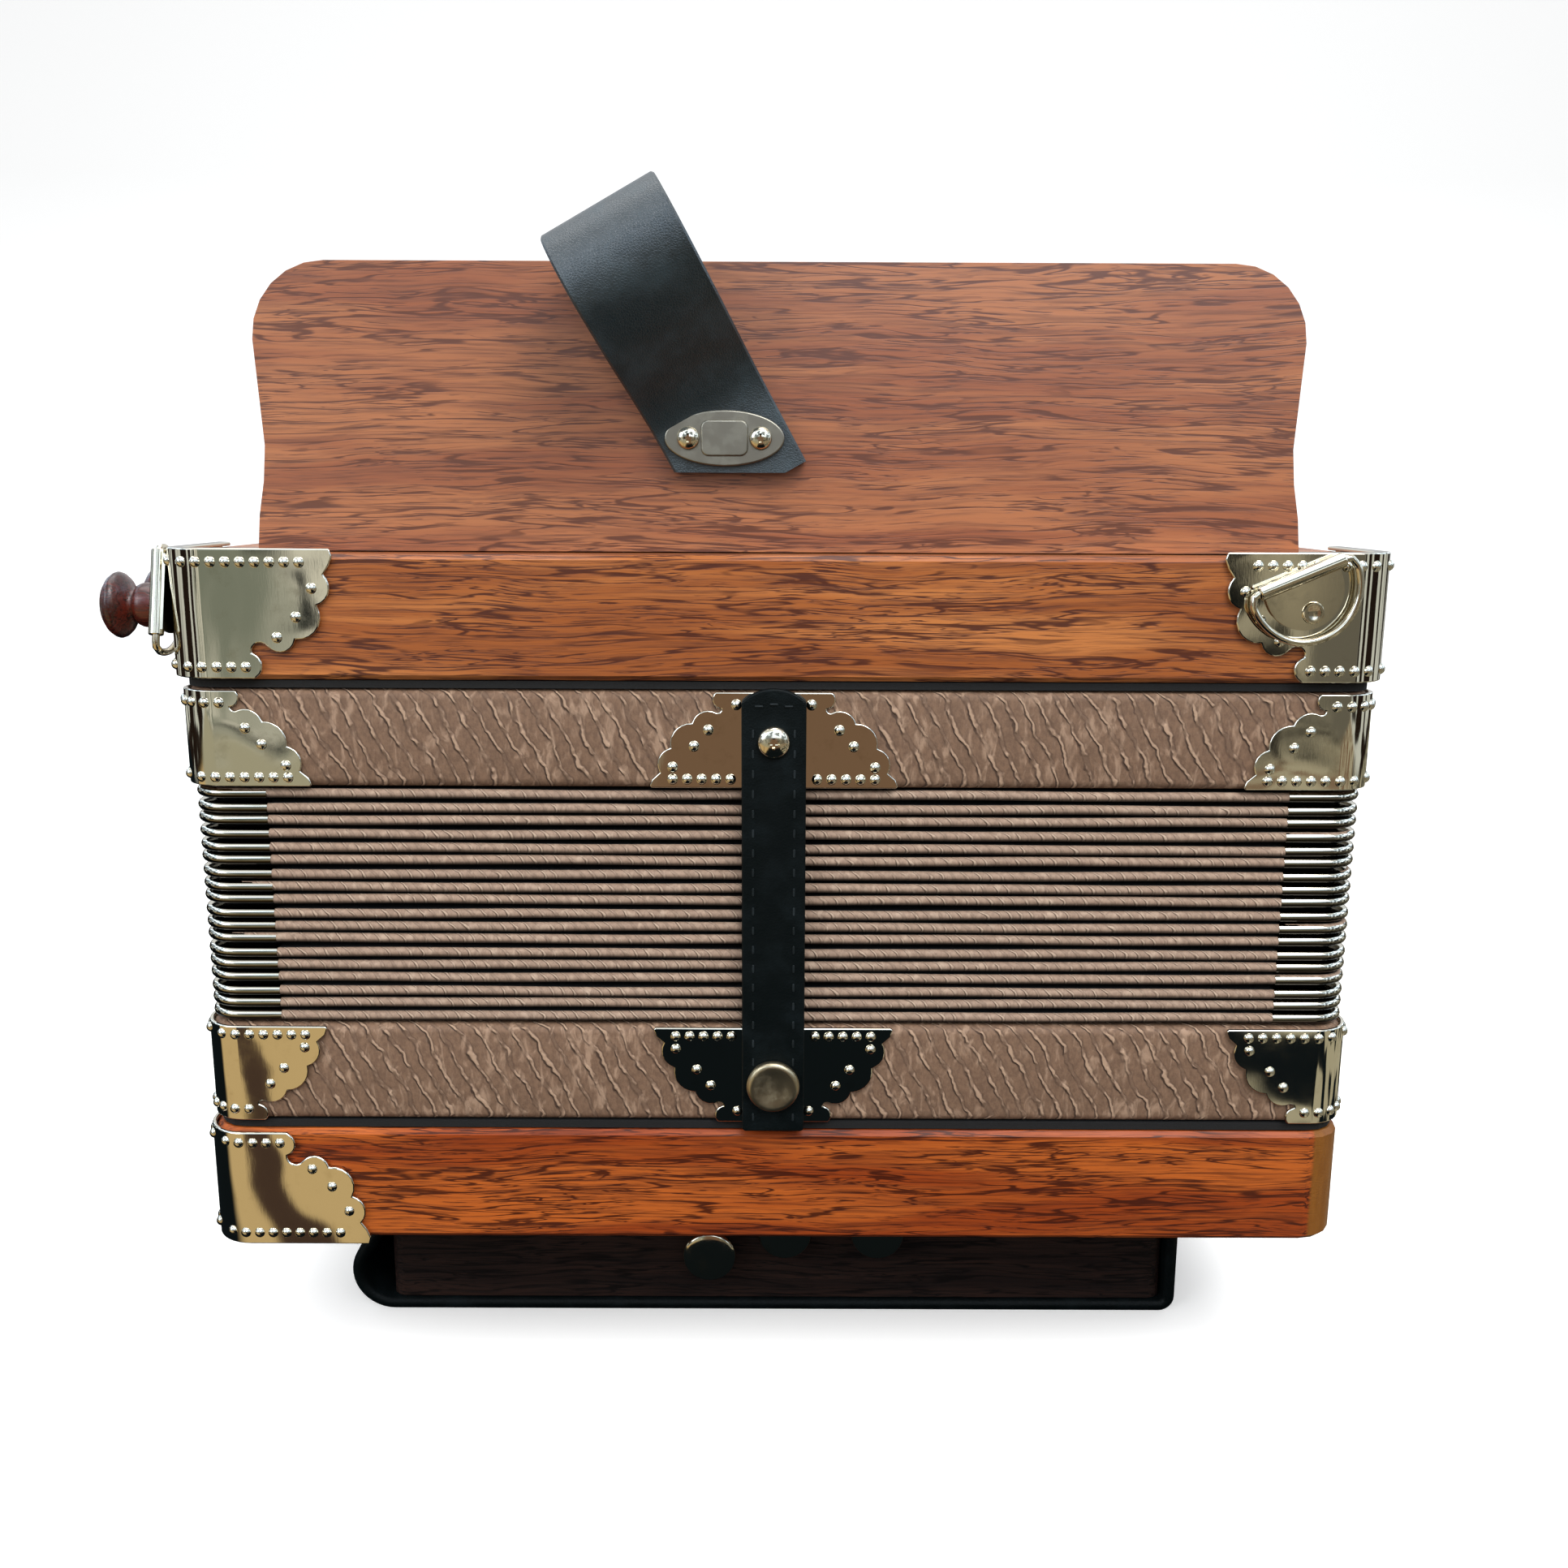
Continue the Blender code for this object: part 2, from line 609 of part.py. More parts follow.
def add_ring(bm, inset, level):
    """A closed row of points on the rounded plan of the bellows, drawn in by the inset."""
    radius = max(FRAME_CORNER - inset, LEAST_RADIUS)
    reach = Vector((FRAME_WIDTH / 2 - inset - radius, FRAME_DEPTH / 2 - inset - radius))
    verts = []
    for quarter, (sx, sy) in enumerate(((1, 1), (-1, 1), (-1, -1), (1, -1))):
        for step in range(CORNER_STEPS):
            angle = math.pi / 2 * (quarter + step / (CORNER_STEPS - 1))
            x = sx * reach.x + radius * math.cos(angle)
            y = sy * reach.y + radius * math.sin(angle)
            verts.append(bm.verts.new((x, y, level)))
    return verts


def bridge(bm, lower, upper):
    count = len(lower)
    for i in range(count):
        j = (i + 1) % count
        bm.faces.new((lower[i], lower[j], upper[j], upper[i]))


def treble_case():
    case = ring(
        "treble_case", CASE_WIDTH, CASE_DEPTH, CASE_CORNER, CASE_WALL, TREBLE_CASE_BOTTOM,
        TREBLE_CASE_HEIGHT, CASE_EDGE, WALNUT,
    )
    seat = CASE_WALL - ACTION_BOARD_LEDGE
    rebate = bmesh.new()
    size = (CASE_WIDTH - 2 * seat, CASE_DEPTH - 2 * seat, 2 * ACTION_BOARD_THICK + 2 * SEAT_GAP)
    add_box(rebate, size, (0, 0, TREBLE_CASE_TOP))
    holes = bmesh.new()
    for y in STOP_Y:
        reach = CASE_WIDTH / 2
        radius = STOP_ROD_RADIUS + STOP_ROD_CLEARANCE
        add_rod(holes, radius, (-reach - CASE_WALL, y, STOP_Z), (-reach + 2 * CASE_WALL, y, STOP_Z))
    combine(case, "DIFFERENCE", tool("board_rebate", rebate), tool("stop_rod_holes", holes))


def action_board():
    seat = CASE_WALL - ACTION_BOARD_LEDGE
    size = (CASE_WIDTH - 2 * (seat + SEAT_GAP), CASE_DEPTH - 2 * (seat + SEAT_GAP), ACTION_BOARD_THICK)
    bm = bmesh.new()
    add_box(bm, size, (0, 0, TREBLE_CASE_TOP - ACTION_BOARD_THICK / 2))
    board = to_object("treble_action_board", bm, WALNUT)
    holes = bmesh.new()
    for x in KEY_X:
        for y in RANK_Y:
            hole = (TONE_HOLE_WIDTH, TONE_HOLE_DEPTH, 3 * ACTION_BOARD_THICK)
            add_box(holes, hole, (x, y, TREBLE_CASE_TOP))
    combine(board, "DIFFERENCE", tool("tone_holes", holes))


def board_outline():
    """The fingerboard seen from behind: wide foot, drawn-in waist and rounded shoulders."""
    shoulder = BOARD_HEIGHT - BOARD_CORNER
    half = [(BOARD_BASE_HALF, 0.0)]
    for i in range(1, 4):
        t = i / 3
        blend = (1 - math.cos(math.pi * t)) / 2
        half.append((BOARD_BASE_HALF + (BOARD_WAIST_HALF - BOARD_BASE_HALF) * blend, BOARD_WAIST_HEIGHT * t))
    for i in range(1, 3):
        t = i / 2
        blend = (1 - math.cos(math.pi * t)) / 2
        x = BOARD_WAIST_HALF + (BOARD_SHOULDER_HALF - BOARD_WAIST_HALF) * blend
        half.append((x, BOARD_WAIST_HEIGHT + (shoulder - BOARD_WAIST_HEIGHT) * t))
    for i in range(1, 7):
        angle = math.pi / 2 * i / 6
        x = BOARD_SHOULDER_HALF - BOARD_CORNER * (1 - math.cos(angle))
        half.append((x, shoulder + BOARD_CORNER * math.sin(angle)))
    return half + [(-x, z) for x, z in reversed(half)]


def fingerboard():
    bm = slab([board_outline()], BOARD_THICK)
    bm.transform(Matrix.Translation((0, AXLE_Y, BOARD_BOTTOM)) @ TO_XZ)
    board = to_object("fingerboard", bm, WALNUT)
    slots = bmesh.new()
    top = AXLE_HEIGHT + BUTTON_ABOVE_AXLE + SLOT_TOP_MARGIN
    middle = Vector((0, BOARD_BACK_Y + BOARD_BACK_WALL + BOARD_THICK, BOARD_BOTTOM + (SLOT_FOOT + top) / 2))
    for x in KEY_X:
        size = (LEVER_WIDTH + 2 * SLOT_CLEARANCE, 2 * BOARD_THICK, top - SLOT_FOOT)
        add_box(slots, size, middle + Vector((x, 0, 0)))
    bore = bmesh.new()
    reach = BOARD_WAIST_HALF - AXLE_END_MARGIN
    radius = AXLE_RADIUS + AXLE_CLEARANCE
    add_rod(bore, radius, (-2 * reach, AXLE_Y, AXLE_Z), (reach + SEAT_GAP, AXLE_Y, AXLE_Z))
    combine(board, "DIFFERENCE", tool("lever_slots", slots), tool("axle_bore", bore))
    axle = bmesh.new()
    add_rod(axle, AXLE_RADIUS, (-reach, AXLE_Y, AXLE_Z), (reach, AXLE_Y, AXLE_Z))
    to_object("key_axle", axle, STEEL)


def lever_outline():
    """The key lever from the side, its hub on (0, 0): an arm up to the button and an arm to the pallet."""
    bar = LEVER_BAR / 2
    hub = HUB_RADIUS
    top = BUTTON_ABOVE_AXLE + BUTTON_STEM_RADIUS
    foot = PALLET_THICK - AXLE_HEIGHT - JOIN_OVERLAP
    near = RANK_Y[0] - TONE_HOLE_DEPTH / 2 - AXLE_Y
    far = RANK_Y[-1] - AXLE_Y
    return [
        (-bar, top), (bar, top), (bar, hub), (hub, bar), (near, foot + LEVER_BAR),
        (far, foot + LEVER_BAR * 0.7), (far, foot), (near - LEVER_BAR, foot),
        (bar, -hub), (-bar, -hub), (-hub, -bar), (-hub, bar), (-bar, hub),
    ]


def keys():
    lever = slab([lever_outline(), circle((0, 0), AXLE_RADIUS + AXLE_CLEARANCE, 12)], LEVER_WIDTH)
    lever.transform(TO_YZ)
    key = to_object("key_1", lever, STEEL)
    front = BOARD_THICK / 2 + BUTTON_STAND_OFF
    profile = [
        (0.0, front + BUTTON_HEAD),
        (BUTTON_RADIUS * 0.7, front + BUTTON_HEAD * 0.95),
        (BUTTON_RADIUS, front + BUTTON_HEAD * 0.7),
        (BUTTON_RADIUS, front),
        (BUTTON_STEM_RADIUS, front),
        (BUTTON_STEM_RADIUS, LEVER_BAR / 4),
        (0.0, LEVER_BAR / 4),
    ]
    button = turned(profile, 10)
    spin = Matrix.Rotation(-math.pi / 2, 4, "X")
    button.transform(Matrix.Translation((0, 0, BUTTON_ABOVE_AXLE)) @ spin)
    pallet = bmesh.new()
    near = RANK_Y[0] - TONE_HOLE_DEPTH / 2 - PALLET_OVERHANG / 2 - AXLE_Y
    far = RANK_Y[-1] + TONE_HOLE_DEPTH / 2 + PALLET_OVERHANG / 2 - AXLE_Y
    height = PALLET_THICK / 2 - AXLE_HEIGHT
    add_box(pallet, (PALLET_WIDTH, far - near, PALLET_THICK), (0, (near + far) / 2, height))
    combine(key, "UNION", tool("button", button), tool("pallet", pallet))
    key = baked(key)
    for index, x in enumerate(KEY_X):
        copy = key if index == 0 else bpy.data.objects.new(f"key_{index + 1}", key.data)
        if index:
            PARTS.objects.link(copy)
        copy.location = (x, AXLE_Y, AXLE_Z)


def stops():
    """Each stop is a turned knob on a rod, drawn out to the left, with a pierced slide under the board."""
    end = -CASE_WIDTH / 2
    slide_z = ACTION_BOARD_BOTTOM - SEAT_GAP - SLIDE_THICK / 2
    near = KEY_X[0] - SLIDE_END_MARGIN
    far = KEY_X[-1] + SLIDE_END_MARGIN + STOP_TRAVEL
    inner = end + CASE_WALL + STOP_TRAVEL + 2 * SEAT_GAP + DRAWBAR_THICK
    profile = [(radius * KNOB_RADIUS, -run * KNOB_LENGTH) for radius, run in KNOB_PROFILE]
    for index, (y, rank_y) in enumerate(zip(STOP_Y, RANK_Y)):
        bm = turned(profile, 16)
        turn = Matrix.Rotation(-math.pi / 2, 4, "Y")
        outside = end - STOP_STAND_OFF - KNOB_LENGTH
        bm.transform(Matrix.Translation((outside, y, STOP_Z)) @ turn)
        stop = to_object(f"stop_{index + 1}", bm, KNOB_WOOD, origin=Vector((end, y, STOP_Z)))
        rod = bmesh.new()
        rod_end = inner - DRAWBAR_THICK / 2
        add_rod(rod, STOP_ROD_RADIUS, (outside + KNOB_ROD_START, y, STOP_Z), (rod_end, y, STOP_Z))
        low, high = sorted((y, rank_y))
        width = high - low + 2 * STOP_ROD_RADIUS
        bar = bmesh.new()
        foot = STOP_Z - STOP_ROD_RADIUS - 2 * JOIN_OVERLAP
        head = slide_z + SLIDE_THICK / 2 - JOIN_OVERLAP
        centre = (inner - DRAWBAR_THICK / 2, (low + high) / 2, (foot + head) / 2)
        add_box(bar, (DRAWBAR_THICK, width, head - foot), centre)
        slide = bmesh.new()
        start = inner - DRAWBAR_THICK + SEAT_GAP
        add_box(slide, (far - start, SLIDE_WIDTH, SLIDE_THICK), ((far + start) / 2, rank_y, slide_z))
        combine(stop, "UNION", tool(f"stop_rod_{index}", rod), tool(f"drawbar_{index}", bar))
        combine(stop, "UNION", tool(f"slide_{index}", slide))
        holes = bmesh.new()
        for x in KEY_X:
            size = (TONE_HOLE_WIDTH, TONE_HOLE_DEPTH - SLIDE_HOLE_MARGIN, 3 * SLIDE_THICK)
            add_box(holes, size, (x + STOP_TRAVEL, rank_y, slide_z))
        combine(stop, "DIFFERENCE", tool(f"slide_holes_{index}", holes))


def reed_blocks():
    """Two long double blocks, one under each pair of ranks, with their chambers open to the tone holes."""
    length = KEY_X[-1] - KEY_X[0] + 2 * REED_BLOCK_END
    for pair in range(RANK_COUNT // 2):
        low, high = RANK_Y[2 * pair], RANK_Y[2 * pair + 1]
        depth = high - low + 2 * REED_BLOCK_MARGIN
        bm = bmesh.new()
        centre = (0, (low + high) / 2, REED_BLOCK_TOP - REED_BLOCK_HEIGHT / 2)
        add_box(bm, (length, depth, REED_BLOCK_HEIGHT), centre)
        block = to_object(f"treble_reed_block_{pair + 1}", bm, PALE_WOOD)
        chambers = bmesh.new()
        for x in KEY_X:
            for y in (low, high):
                size = (TONE_HOLE_WIDTH, REED_BLOCK_MARGIN, 2 * REED_CHAMBER_DEPTH)
                add_box(chambers, size, (x, y, REED_BLOCK_TOP))
        combine(block, "DIFFERENCE", tool(f"reed_chambers_{pair}", chambers))


def bass_case():
    bm = bmesh.new()
    size = (CASE_WIDTH, CASE_DEPTH, BASS_CASE_HEIGHT)
    add_box(bm, size, (0, 0, BASS_CASE_BOTTOM + BASS_CASE_HEIGHT / 2), CASE_CORNER, CASE_EDGE)
    case = to_object("bass_case", bm, REDWOOD)
    hollow = bmesh.new()
    deep = BASS_CASE_HEIGHT - BASS_FLOOR_THICK
    inside = (CASE_WIDTH - 2 * CASE_WALL, CASE_DEPTH - 2 * CASE_WALL, 2 * deep)
    add_box(hollow, inside, (0, 0, BASS_CASE_TOP))
    holes = bmesh.new()
    for x in (*BASS_BUTTON_X, AIR_BUTTON_X):
        size = (BASS_HOLE_SIZE, BASS_HOLE_SIZE, 3 * BASS_FLOOR_THICK)
        add_box(holes, size, (x, BASS_AXLE_Y + BASS_PALLET_AHEAD, BASS_CASE_BOTTOM))
    combine(case, "DIFFERENCE", tool("bass_hollow", hollow), tool("bass_holes", holes))


def bass_box():
    """The bass action's housing, open towards the case, with the levers' axle held between two ears."""
    bm = bmesh.new()
    height = BASS_BOX_HEIGHT - SEAT_GAP
    centre = Vector((0, 0, BOX_BOTTOM + height / 2))
    add_box(bm, (BOX_LENGTH, BOX_DEPTH, height), centre, BOX_CORNER, 0, 3)
    box = to_object("bass_box", bm, DARK_WOOD)
    hollow = bmesh.new()
    inside = (BOX_LENGTH - 2 * BOX_WALL, BOX_DEPTH - 2 * BOX_WALL, 2 * (height - BOX_FLOOR))
    add_box(hollow, inside, (0, 0, BOX_BOTTOM + height))
    stems = bmesh.new()
    for x, drop in bass_buttons():
        z = BASS_CASE_BOTTOM - drop
        radius = BASS_STEM_RADIUS + BASS_STEM_CLEARANCE
        add_rod(stems, radius, (x, -BOX_DEPTH, z), (x, -BOX_DEPTH / 2 + 2 * BOX_WALL, z))
    combine(box, "DIFFERENCE", tool("box_hollow", hollow), tool("button_holes", stems))
    reach = BASS_LEVER_WIDTH / 2 + 2 * SEAT_GAP
    left = AIR_BUTTON_X - reach - BASS_AXLE_EAR / 2 - SEAT_GAP
    right = BASS_BUTTON_X[1] + reach + BASS_AXLE_EAR / 2 + SEAT_GAP
    ears = bmesh.new()
    low = BOX_BOTTOM + BOX_FLOOR - BASS_EAR_SINK
    high = BASS_AXLE_Z + BASS_HUB_RADIUS
    for x in (left, right):
        size = (BASS_AXLE_EAR, 2 * BASS_HUB_RADIUS + BASS_EAR_SINK, high - low)
        add_box(ears, size, (x, BASS_AXLE_Y, (low + high) / 2))
    axle = bmesh.new()
    add_rod(axle, BASS_AXLE_RADIUS, (left, BASS_AXLE_Y, BASS_AXLE_Z), (right, BASS_AXLE_Y, BASS_AXLE_Z))
    combine(box, "UNION", tool("axle_ears", ears), tool("bass_axle", axle))


def bass_buttons():
    """Each button's place along the box and its drop below the case."""
    return [(x, BASS_BUTTON_DROP) for x in BASS_BUTTON_X] + [(AIR_BUTTON_X, AIR_BUTTON_DROP)]


def bass_action():
    """Two bass buttons and the air button, each pushing the lever that draws a pallet off its hole."""
    names = ("bass_button_1", "bass_button_2", "air_button")
    levers = ("bass_lever_1", "bass_lever_2", "air_lever")
    outside = -BOX_DEPTH / 2 - BASS_BUTTON_TRAVEL - BASS_BUTTON_HEAD - SEAT_GAP
    push_y = BASS_AXLE_Y - BASS_LEVER_WIDTH / 2 - SEAT_GAP
    for name, lever_name, (x, drop) in zip(names, levers, bass_buttons()):
        z = BASS_CASE_BOTTOM - drop
        length = push_y - outside
        profile = [
            (0.0, length), (BASS_NOSE_RADIUS, length), (BASS_NOSE_RADIUS, length - BASS_NOSE_LENGTH),
            (BASS_STEM_RADIUS, length - BASS_NOSE_LENGTH), (BASS_STEM_RADIUS, BASS_BUTTON_HEAD),
            (BASS_BUTTON_RADIUS * 0.96, BASS_BUTTON_HEAD), (BASS_BUTTON_RADIUS, BASS_BUTTON_HEAD * 0.5),
            (BASS_BUTTON_RADIUS * 0.93, BASS_BUTTON_HEAD * 0.03), (0.0, 0.0),
        ]
        bm = turned(profile, 20)
        bm.transform(Matrix.Translation((x, outside, z)) @ Matrix.Rotation(-math.pi / 2, 4, "X"))
        to_object(name, bm, STEEL, origin=Vector((x, outside, z)))
        bore = circle((0, 0), BASS_AXLE_RADIUS + AXLE_CLEARANCE, 10)
        lever = slab([bass_lever_outline(z), bore], BASS_LEVER_WIDTH)
        lever.transform(Matrix.Translation((x, BASS_AXLE_Y, BASS_AXLE_Z)) @ TO_YZ)
        obj = to_object(lever_name, lever, STEEL, origin=Vector((x, BASS_AXLE_Y, BASS_AXLE_Z)))
        pallet = bmesh.new()
        top = BASS_CASE_BOTTOM - SEAT_GAP
        size = (BASS_PALLET_SIZE, BASS_PALLET_SIZE, BASS_PALLET_THICK)
        add_box(pallet, size, (x, BASS_AXLE_Y + BASS_PALLET_AHEAD, top - BASS_PALLET_THICK / 2))
        combine(obj, "UNION", tool(lever_name + "_pallet", pallet))


def bass_lever_outline(button_z):
    """From the side, its hub on (0, 0): an upright arm behind the button and a raised arm to the pallet."""
    bar = BASS_LEVER_WIDTH / 2
    hub = BASS_HUB_RADIUS
    push = button_z - BASS_AXLE_Z + BASS_STEM_RADIUS
    under = BASS_CASE_BOTTOM - SEAT_GAP - BASS_PALLET_THICK - BASS_AXLE_Z + JOIN_OVERLAP
    ahead = BASS_PALLET_AHEAD
    pad = BASS_LEVER_PAD / 2
    return [
        (-bar, push), (bar * 0.4, push), (bar * 0.6, hub * 1.3), (ahead - pad, under), (ahead + pad, under),
        (ahead + pad * 0.7, under - bar * 2), (ahead - pad / 2, under - bar * 2.4), (hub, -hub * 0.3),
        (hub * 0.4, -hub * 0.9), (-hub * 0.4, -hub * 0.9), (-hub * 0.95, -hub * 0.3), (-bar, hub),
    ]


def bass_reeds():
    bm = bmesh.new()
    bottom = BASS_CASE_BOTTOM + BASS_FLOOR_THICK + SEAT_GAP
    y = BASS_AXLE_Y + BASS_PALLET_AHEAD
    add_box(bm, (BASS_REED_LENGTH, BASS_REED_DEPTH, BASS_REED_HEIGHT), (0, y, bottom + BASS_REED_HEIGHT / 2))
    block = to_object("bass_reed_block", bm, PALE_WOOD)
    chambers = bmesh.new()
    for x in BASS_BUTTON_X:
        add_box(chambers, (BASS_HOLE_SIZE, BASS_HOLE_SIZE, 2 * BASS_CHAMBER_DEPTH), (x, y, bottom))
    vent = (BASS_HOLE_SIZE, BASS_HOLE_SIZE, 3 * BASS_REED_HEIGHT)
    add_box(chambers, vent, (AIR_BUTTON_X, y, bottom))
    combine(block, "DIFFERENCE", tool("bass_chambers", chambers))


def band(path, thickness, width, matrix):
    """A strap of even thickness: its centre line is drawn in XY, and it is extruded to its width."""
    points = [Vector(p) for p in path]
    left, right = [], []
    for i, point in enumerate(points):
        before = points[max(i - 1, 0)]
        after = points[min(i + 1, len(points) - 1)]
        inward = (point - before).normalized() if i else (after - point).normalized()
        outward = (after - point).normalized() if i < len(points) - 1 else inward
        way = (inward + outward).normalized()
        mitre = thickness / 2 / max(way.dot(inward), 0.3)
        normal = Vector((-way.y, way.x)) * mitre
        left.append(tuple(point + normal))
        right.append(tuple(point - normal))
    bm = slab([left + right[::-1]], width)
    bm.transform(matrix)
    return bm


def hand_strap():
    """From under the case down one end of the box, slack at its corner, along the underside and up again."""
    centre = HAND_STRAP_THICK / 2
    top = BASS_CASE_BOTTOM - SEAT_GAP - centre
    end = BOX_LENGTH / 2 + SEAT_GAP + centre
    bend = HAND_STRAP_BEND
    path = [(-end - HAND_STRAP_TAIL, top)]
    fold = HAND_STRAP_TOP_BEND
    path += quarter((-end - fold, top - fold), fold, 90, 0, 3)
    path += [(-end, HAND_STRAP_SLACK_TOP), (-end - HAND_STRAP_SLACK / 4, HAND_STRAP_SLACK_WAIST)]
    path += quarter((-end - HAND_STRAP_SLACK + bend, centre + bend), bend, 150, 270, 6)
    snug = HAND_STRAP_SNUG_BEND
    path += quarter((end - snug, centre + snug), snug, -90, 0, 3)
    path += quarter((end + fold, top - fold), fold, 180, 90, 3)
    path.append((end + HAND_STRAP_TAIL, top))
    to_object("hand_strap", band(path, HAND_STRAP_THICK, HAND_STRAP_WIDTH, TO_XZ), BLACK_LEATHER)
    z = BASS_CASE_BOTTOM - 2 * SEAT_GAP - HAND_STRAP_THICK - ANCHOR_THICK / 2
    for name, x in (("left", -end - HAND_STRAP_TAIL), ("right", end + HAND_STRAP_TAIL)):
        inward = math.copysign(HAND_STRAP_ANCHOR / 2, -x)
        bm = bmesh.new()
        add_box(bm, (HAND_STRAP_ANCHOR, HAND_STRAP_WIDTH, ANCHOR_THICK), (x + inward, 0, z))
        to_object(f"strap_anchor_{name}", bm, NICKEL)


def quarter(centre, radius, start, end, steps):
    """Points on an arc from one angle to another, in degrees."""
    points = []
    for i in range(steps + 1):
        angle = math.radians(start + (end - start) * i / steps)
        points.append((centre[0] + radius * math.cos(angle), centre[1] + radius * math.sin(angle)))
    return points


def bellows_strap(side, way):
    """A leather tab screwed to the treble frame, the tail that swings from it and snaps to the bass frame."""
    face = FRAME_DEPTH / 2 + PLATE_THICK + SEAT_GAP
    y = way * (face + STRAP_THICK / 2)
    top = TREBLE_FRAME_TOP + STRAP_OVER_TOP
    foot = BASS_FRAME_BOTTOM - STRAP_OVER_FOOT
    hinge = TREBLE_FRAME_TOP - STRAP_HINGE_DROP
    snap_z = BASS_FRAME_BOTTOM + SNAP_HEIGHT
    half = STRAP_WIDTH / 2
    place = Matrix.Translation((STRAP_X, y, 0)) @ TO_XZ
    shoulder = top - STRAP_TOP_RISE
    outline = [(half, hinge + SEAT_GAP / 2), (half, shoulder)]
    outline += arc_between((half, shoulder), (-half, shoulder), STRAP_TOP_RISE, STRAP_TOP_STEPS)
    outline.append((-half, hinge + SEAT_GAP / 2))
    hole = circle((0, TREBLE_FRAME_TOP - STRAP_SCREW_DROP), STRAP_SCREW_RADIUS * 0.5 + SEAT_GAP, 10)
    bm = slab([outline, hole], STRAP_THICK)
    bm.transform(place)
    to_object(f"strap_tab_{side}", bm, BLACK_LEATHER)
    outer = way * (face + STRAP_THICK)
    bm = slab(
        [
            [(-half, foot), (half, foot), (half, hinge - SEAT_GAP / 2), (-half, hinge - SEAT_GAP / 2)],
            circle((0, snap_z), STUD_RADIUS + STUD_CLEARANCE, 10),
        ],
        STRAP_THICK,
    )
    bm.transform(place)
    to_object(f"strap_tail_{side}", bm, BLACK_LEATHER, origin=Vector((STRAP_X, outer, hinge)))
    towards = Matrix.Rotation(math.pi / 2 * -way, 4, "X")
    cap = turned(
        [(0.0, SNAP_THICK), (SNAP_RADIUS * 0.6, SNAP_THICK * 0.92), (SNAP_RADIUS * 0.93, SNAP_THICK * 0.6),
         (SNAP_RADIUS, 0.0), (0.0, 0.0)], 20,
    )
    cap.transform(Matrix.Translation((STRAP_X, outer + way * SEAT_GAP, snap_z)) @ towards)
    to_object(f"snap_cap_{side}", cap, NICKEL)
    stud = turned(
        [(0.0, STRAP_THICK), (STUD_RADIUS * 0.8, STRAP_THICK), (STUD_RADIUS, STRAP_THICK * 0.7),
         (STUD_RADIUS, 0.0), (0.0, 0.0)], 12,
    )
    stud.transform(Matrix.Translation((STRAP_X, way * (face - SEAT_GAP / 2), snap_z)) @ towards)
    to_object(f"snap_stud_{side}", stud, NICKEL)
    screw = turned(
        [(0.0, STRAP_SCREW_HEAD), (STRAP_SCREW_RADIUS * 0.6, STRAP_SCREW_HEAD * 0.9),
         (STRAP_SCREW_RADIUS * 0.93, STRAP_SCREW_HEAD * 0.5), (STRAP_SCREW_RADIUS, 0.0),
         (STRAP_SCREW_RADIUS * 0.5, 0.0), (STRAP_SCREW_RADIUS * 0.5, -STRAP_THICK - SEAT_GAP),
         (0.0, -STRAP_THICK - SEAT_GAP)], 16,
    )
    z = TREBLE_FRAME_TOP - STRAP_SCREW_DROP
    screw.transform(Matrix.Translation((STRAP_X, outer + way * SEAT_GAP, z)) @ towards)
    to_object(f"strap_screw_{side}", screw, NICKEL)


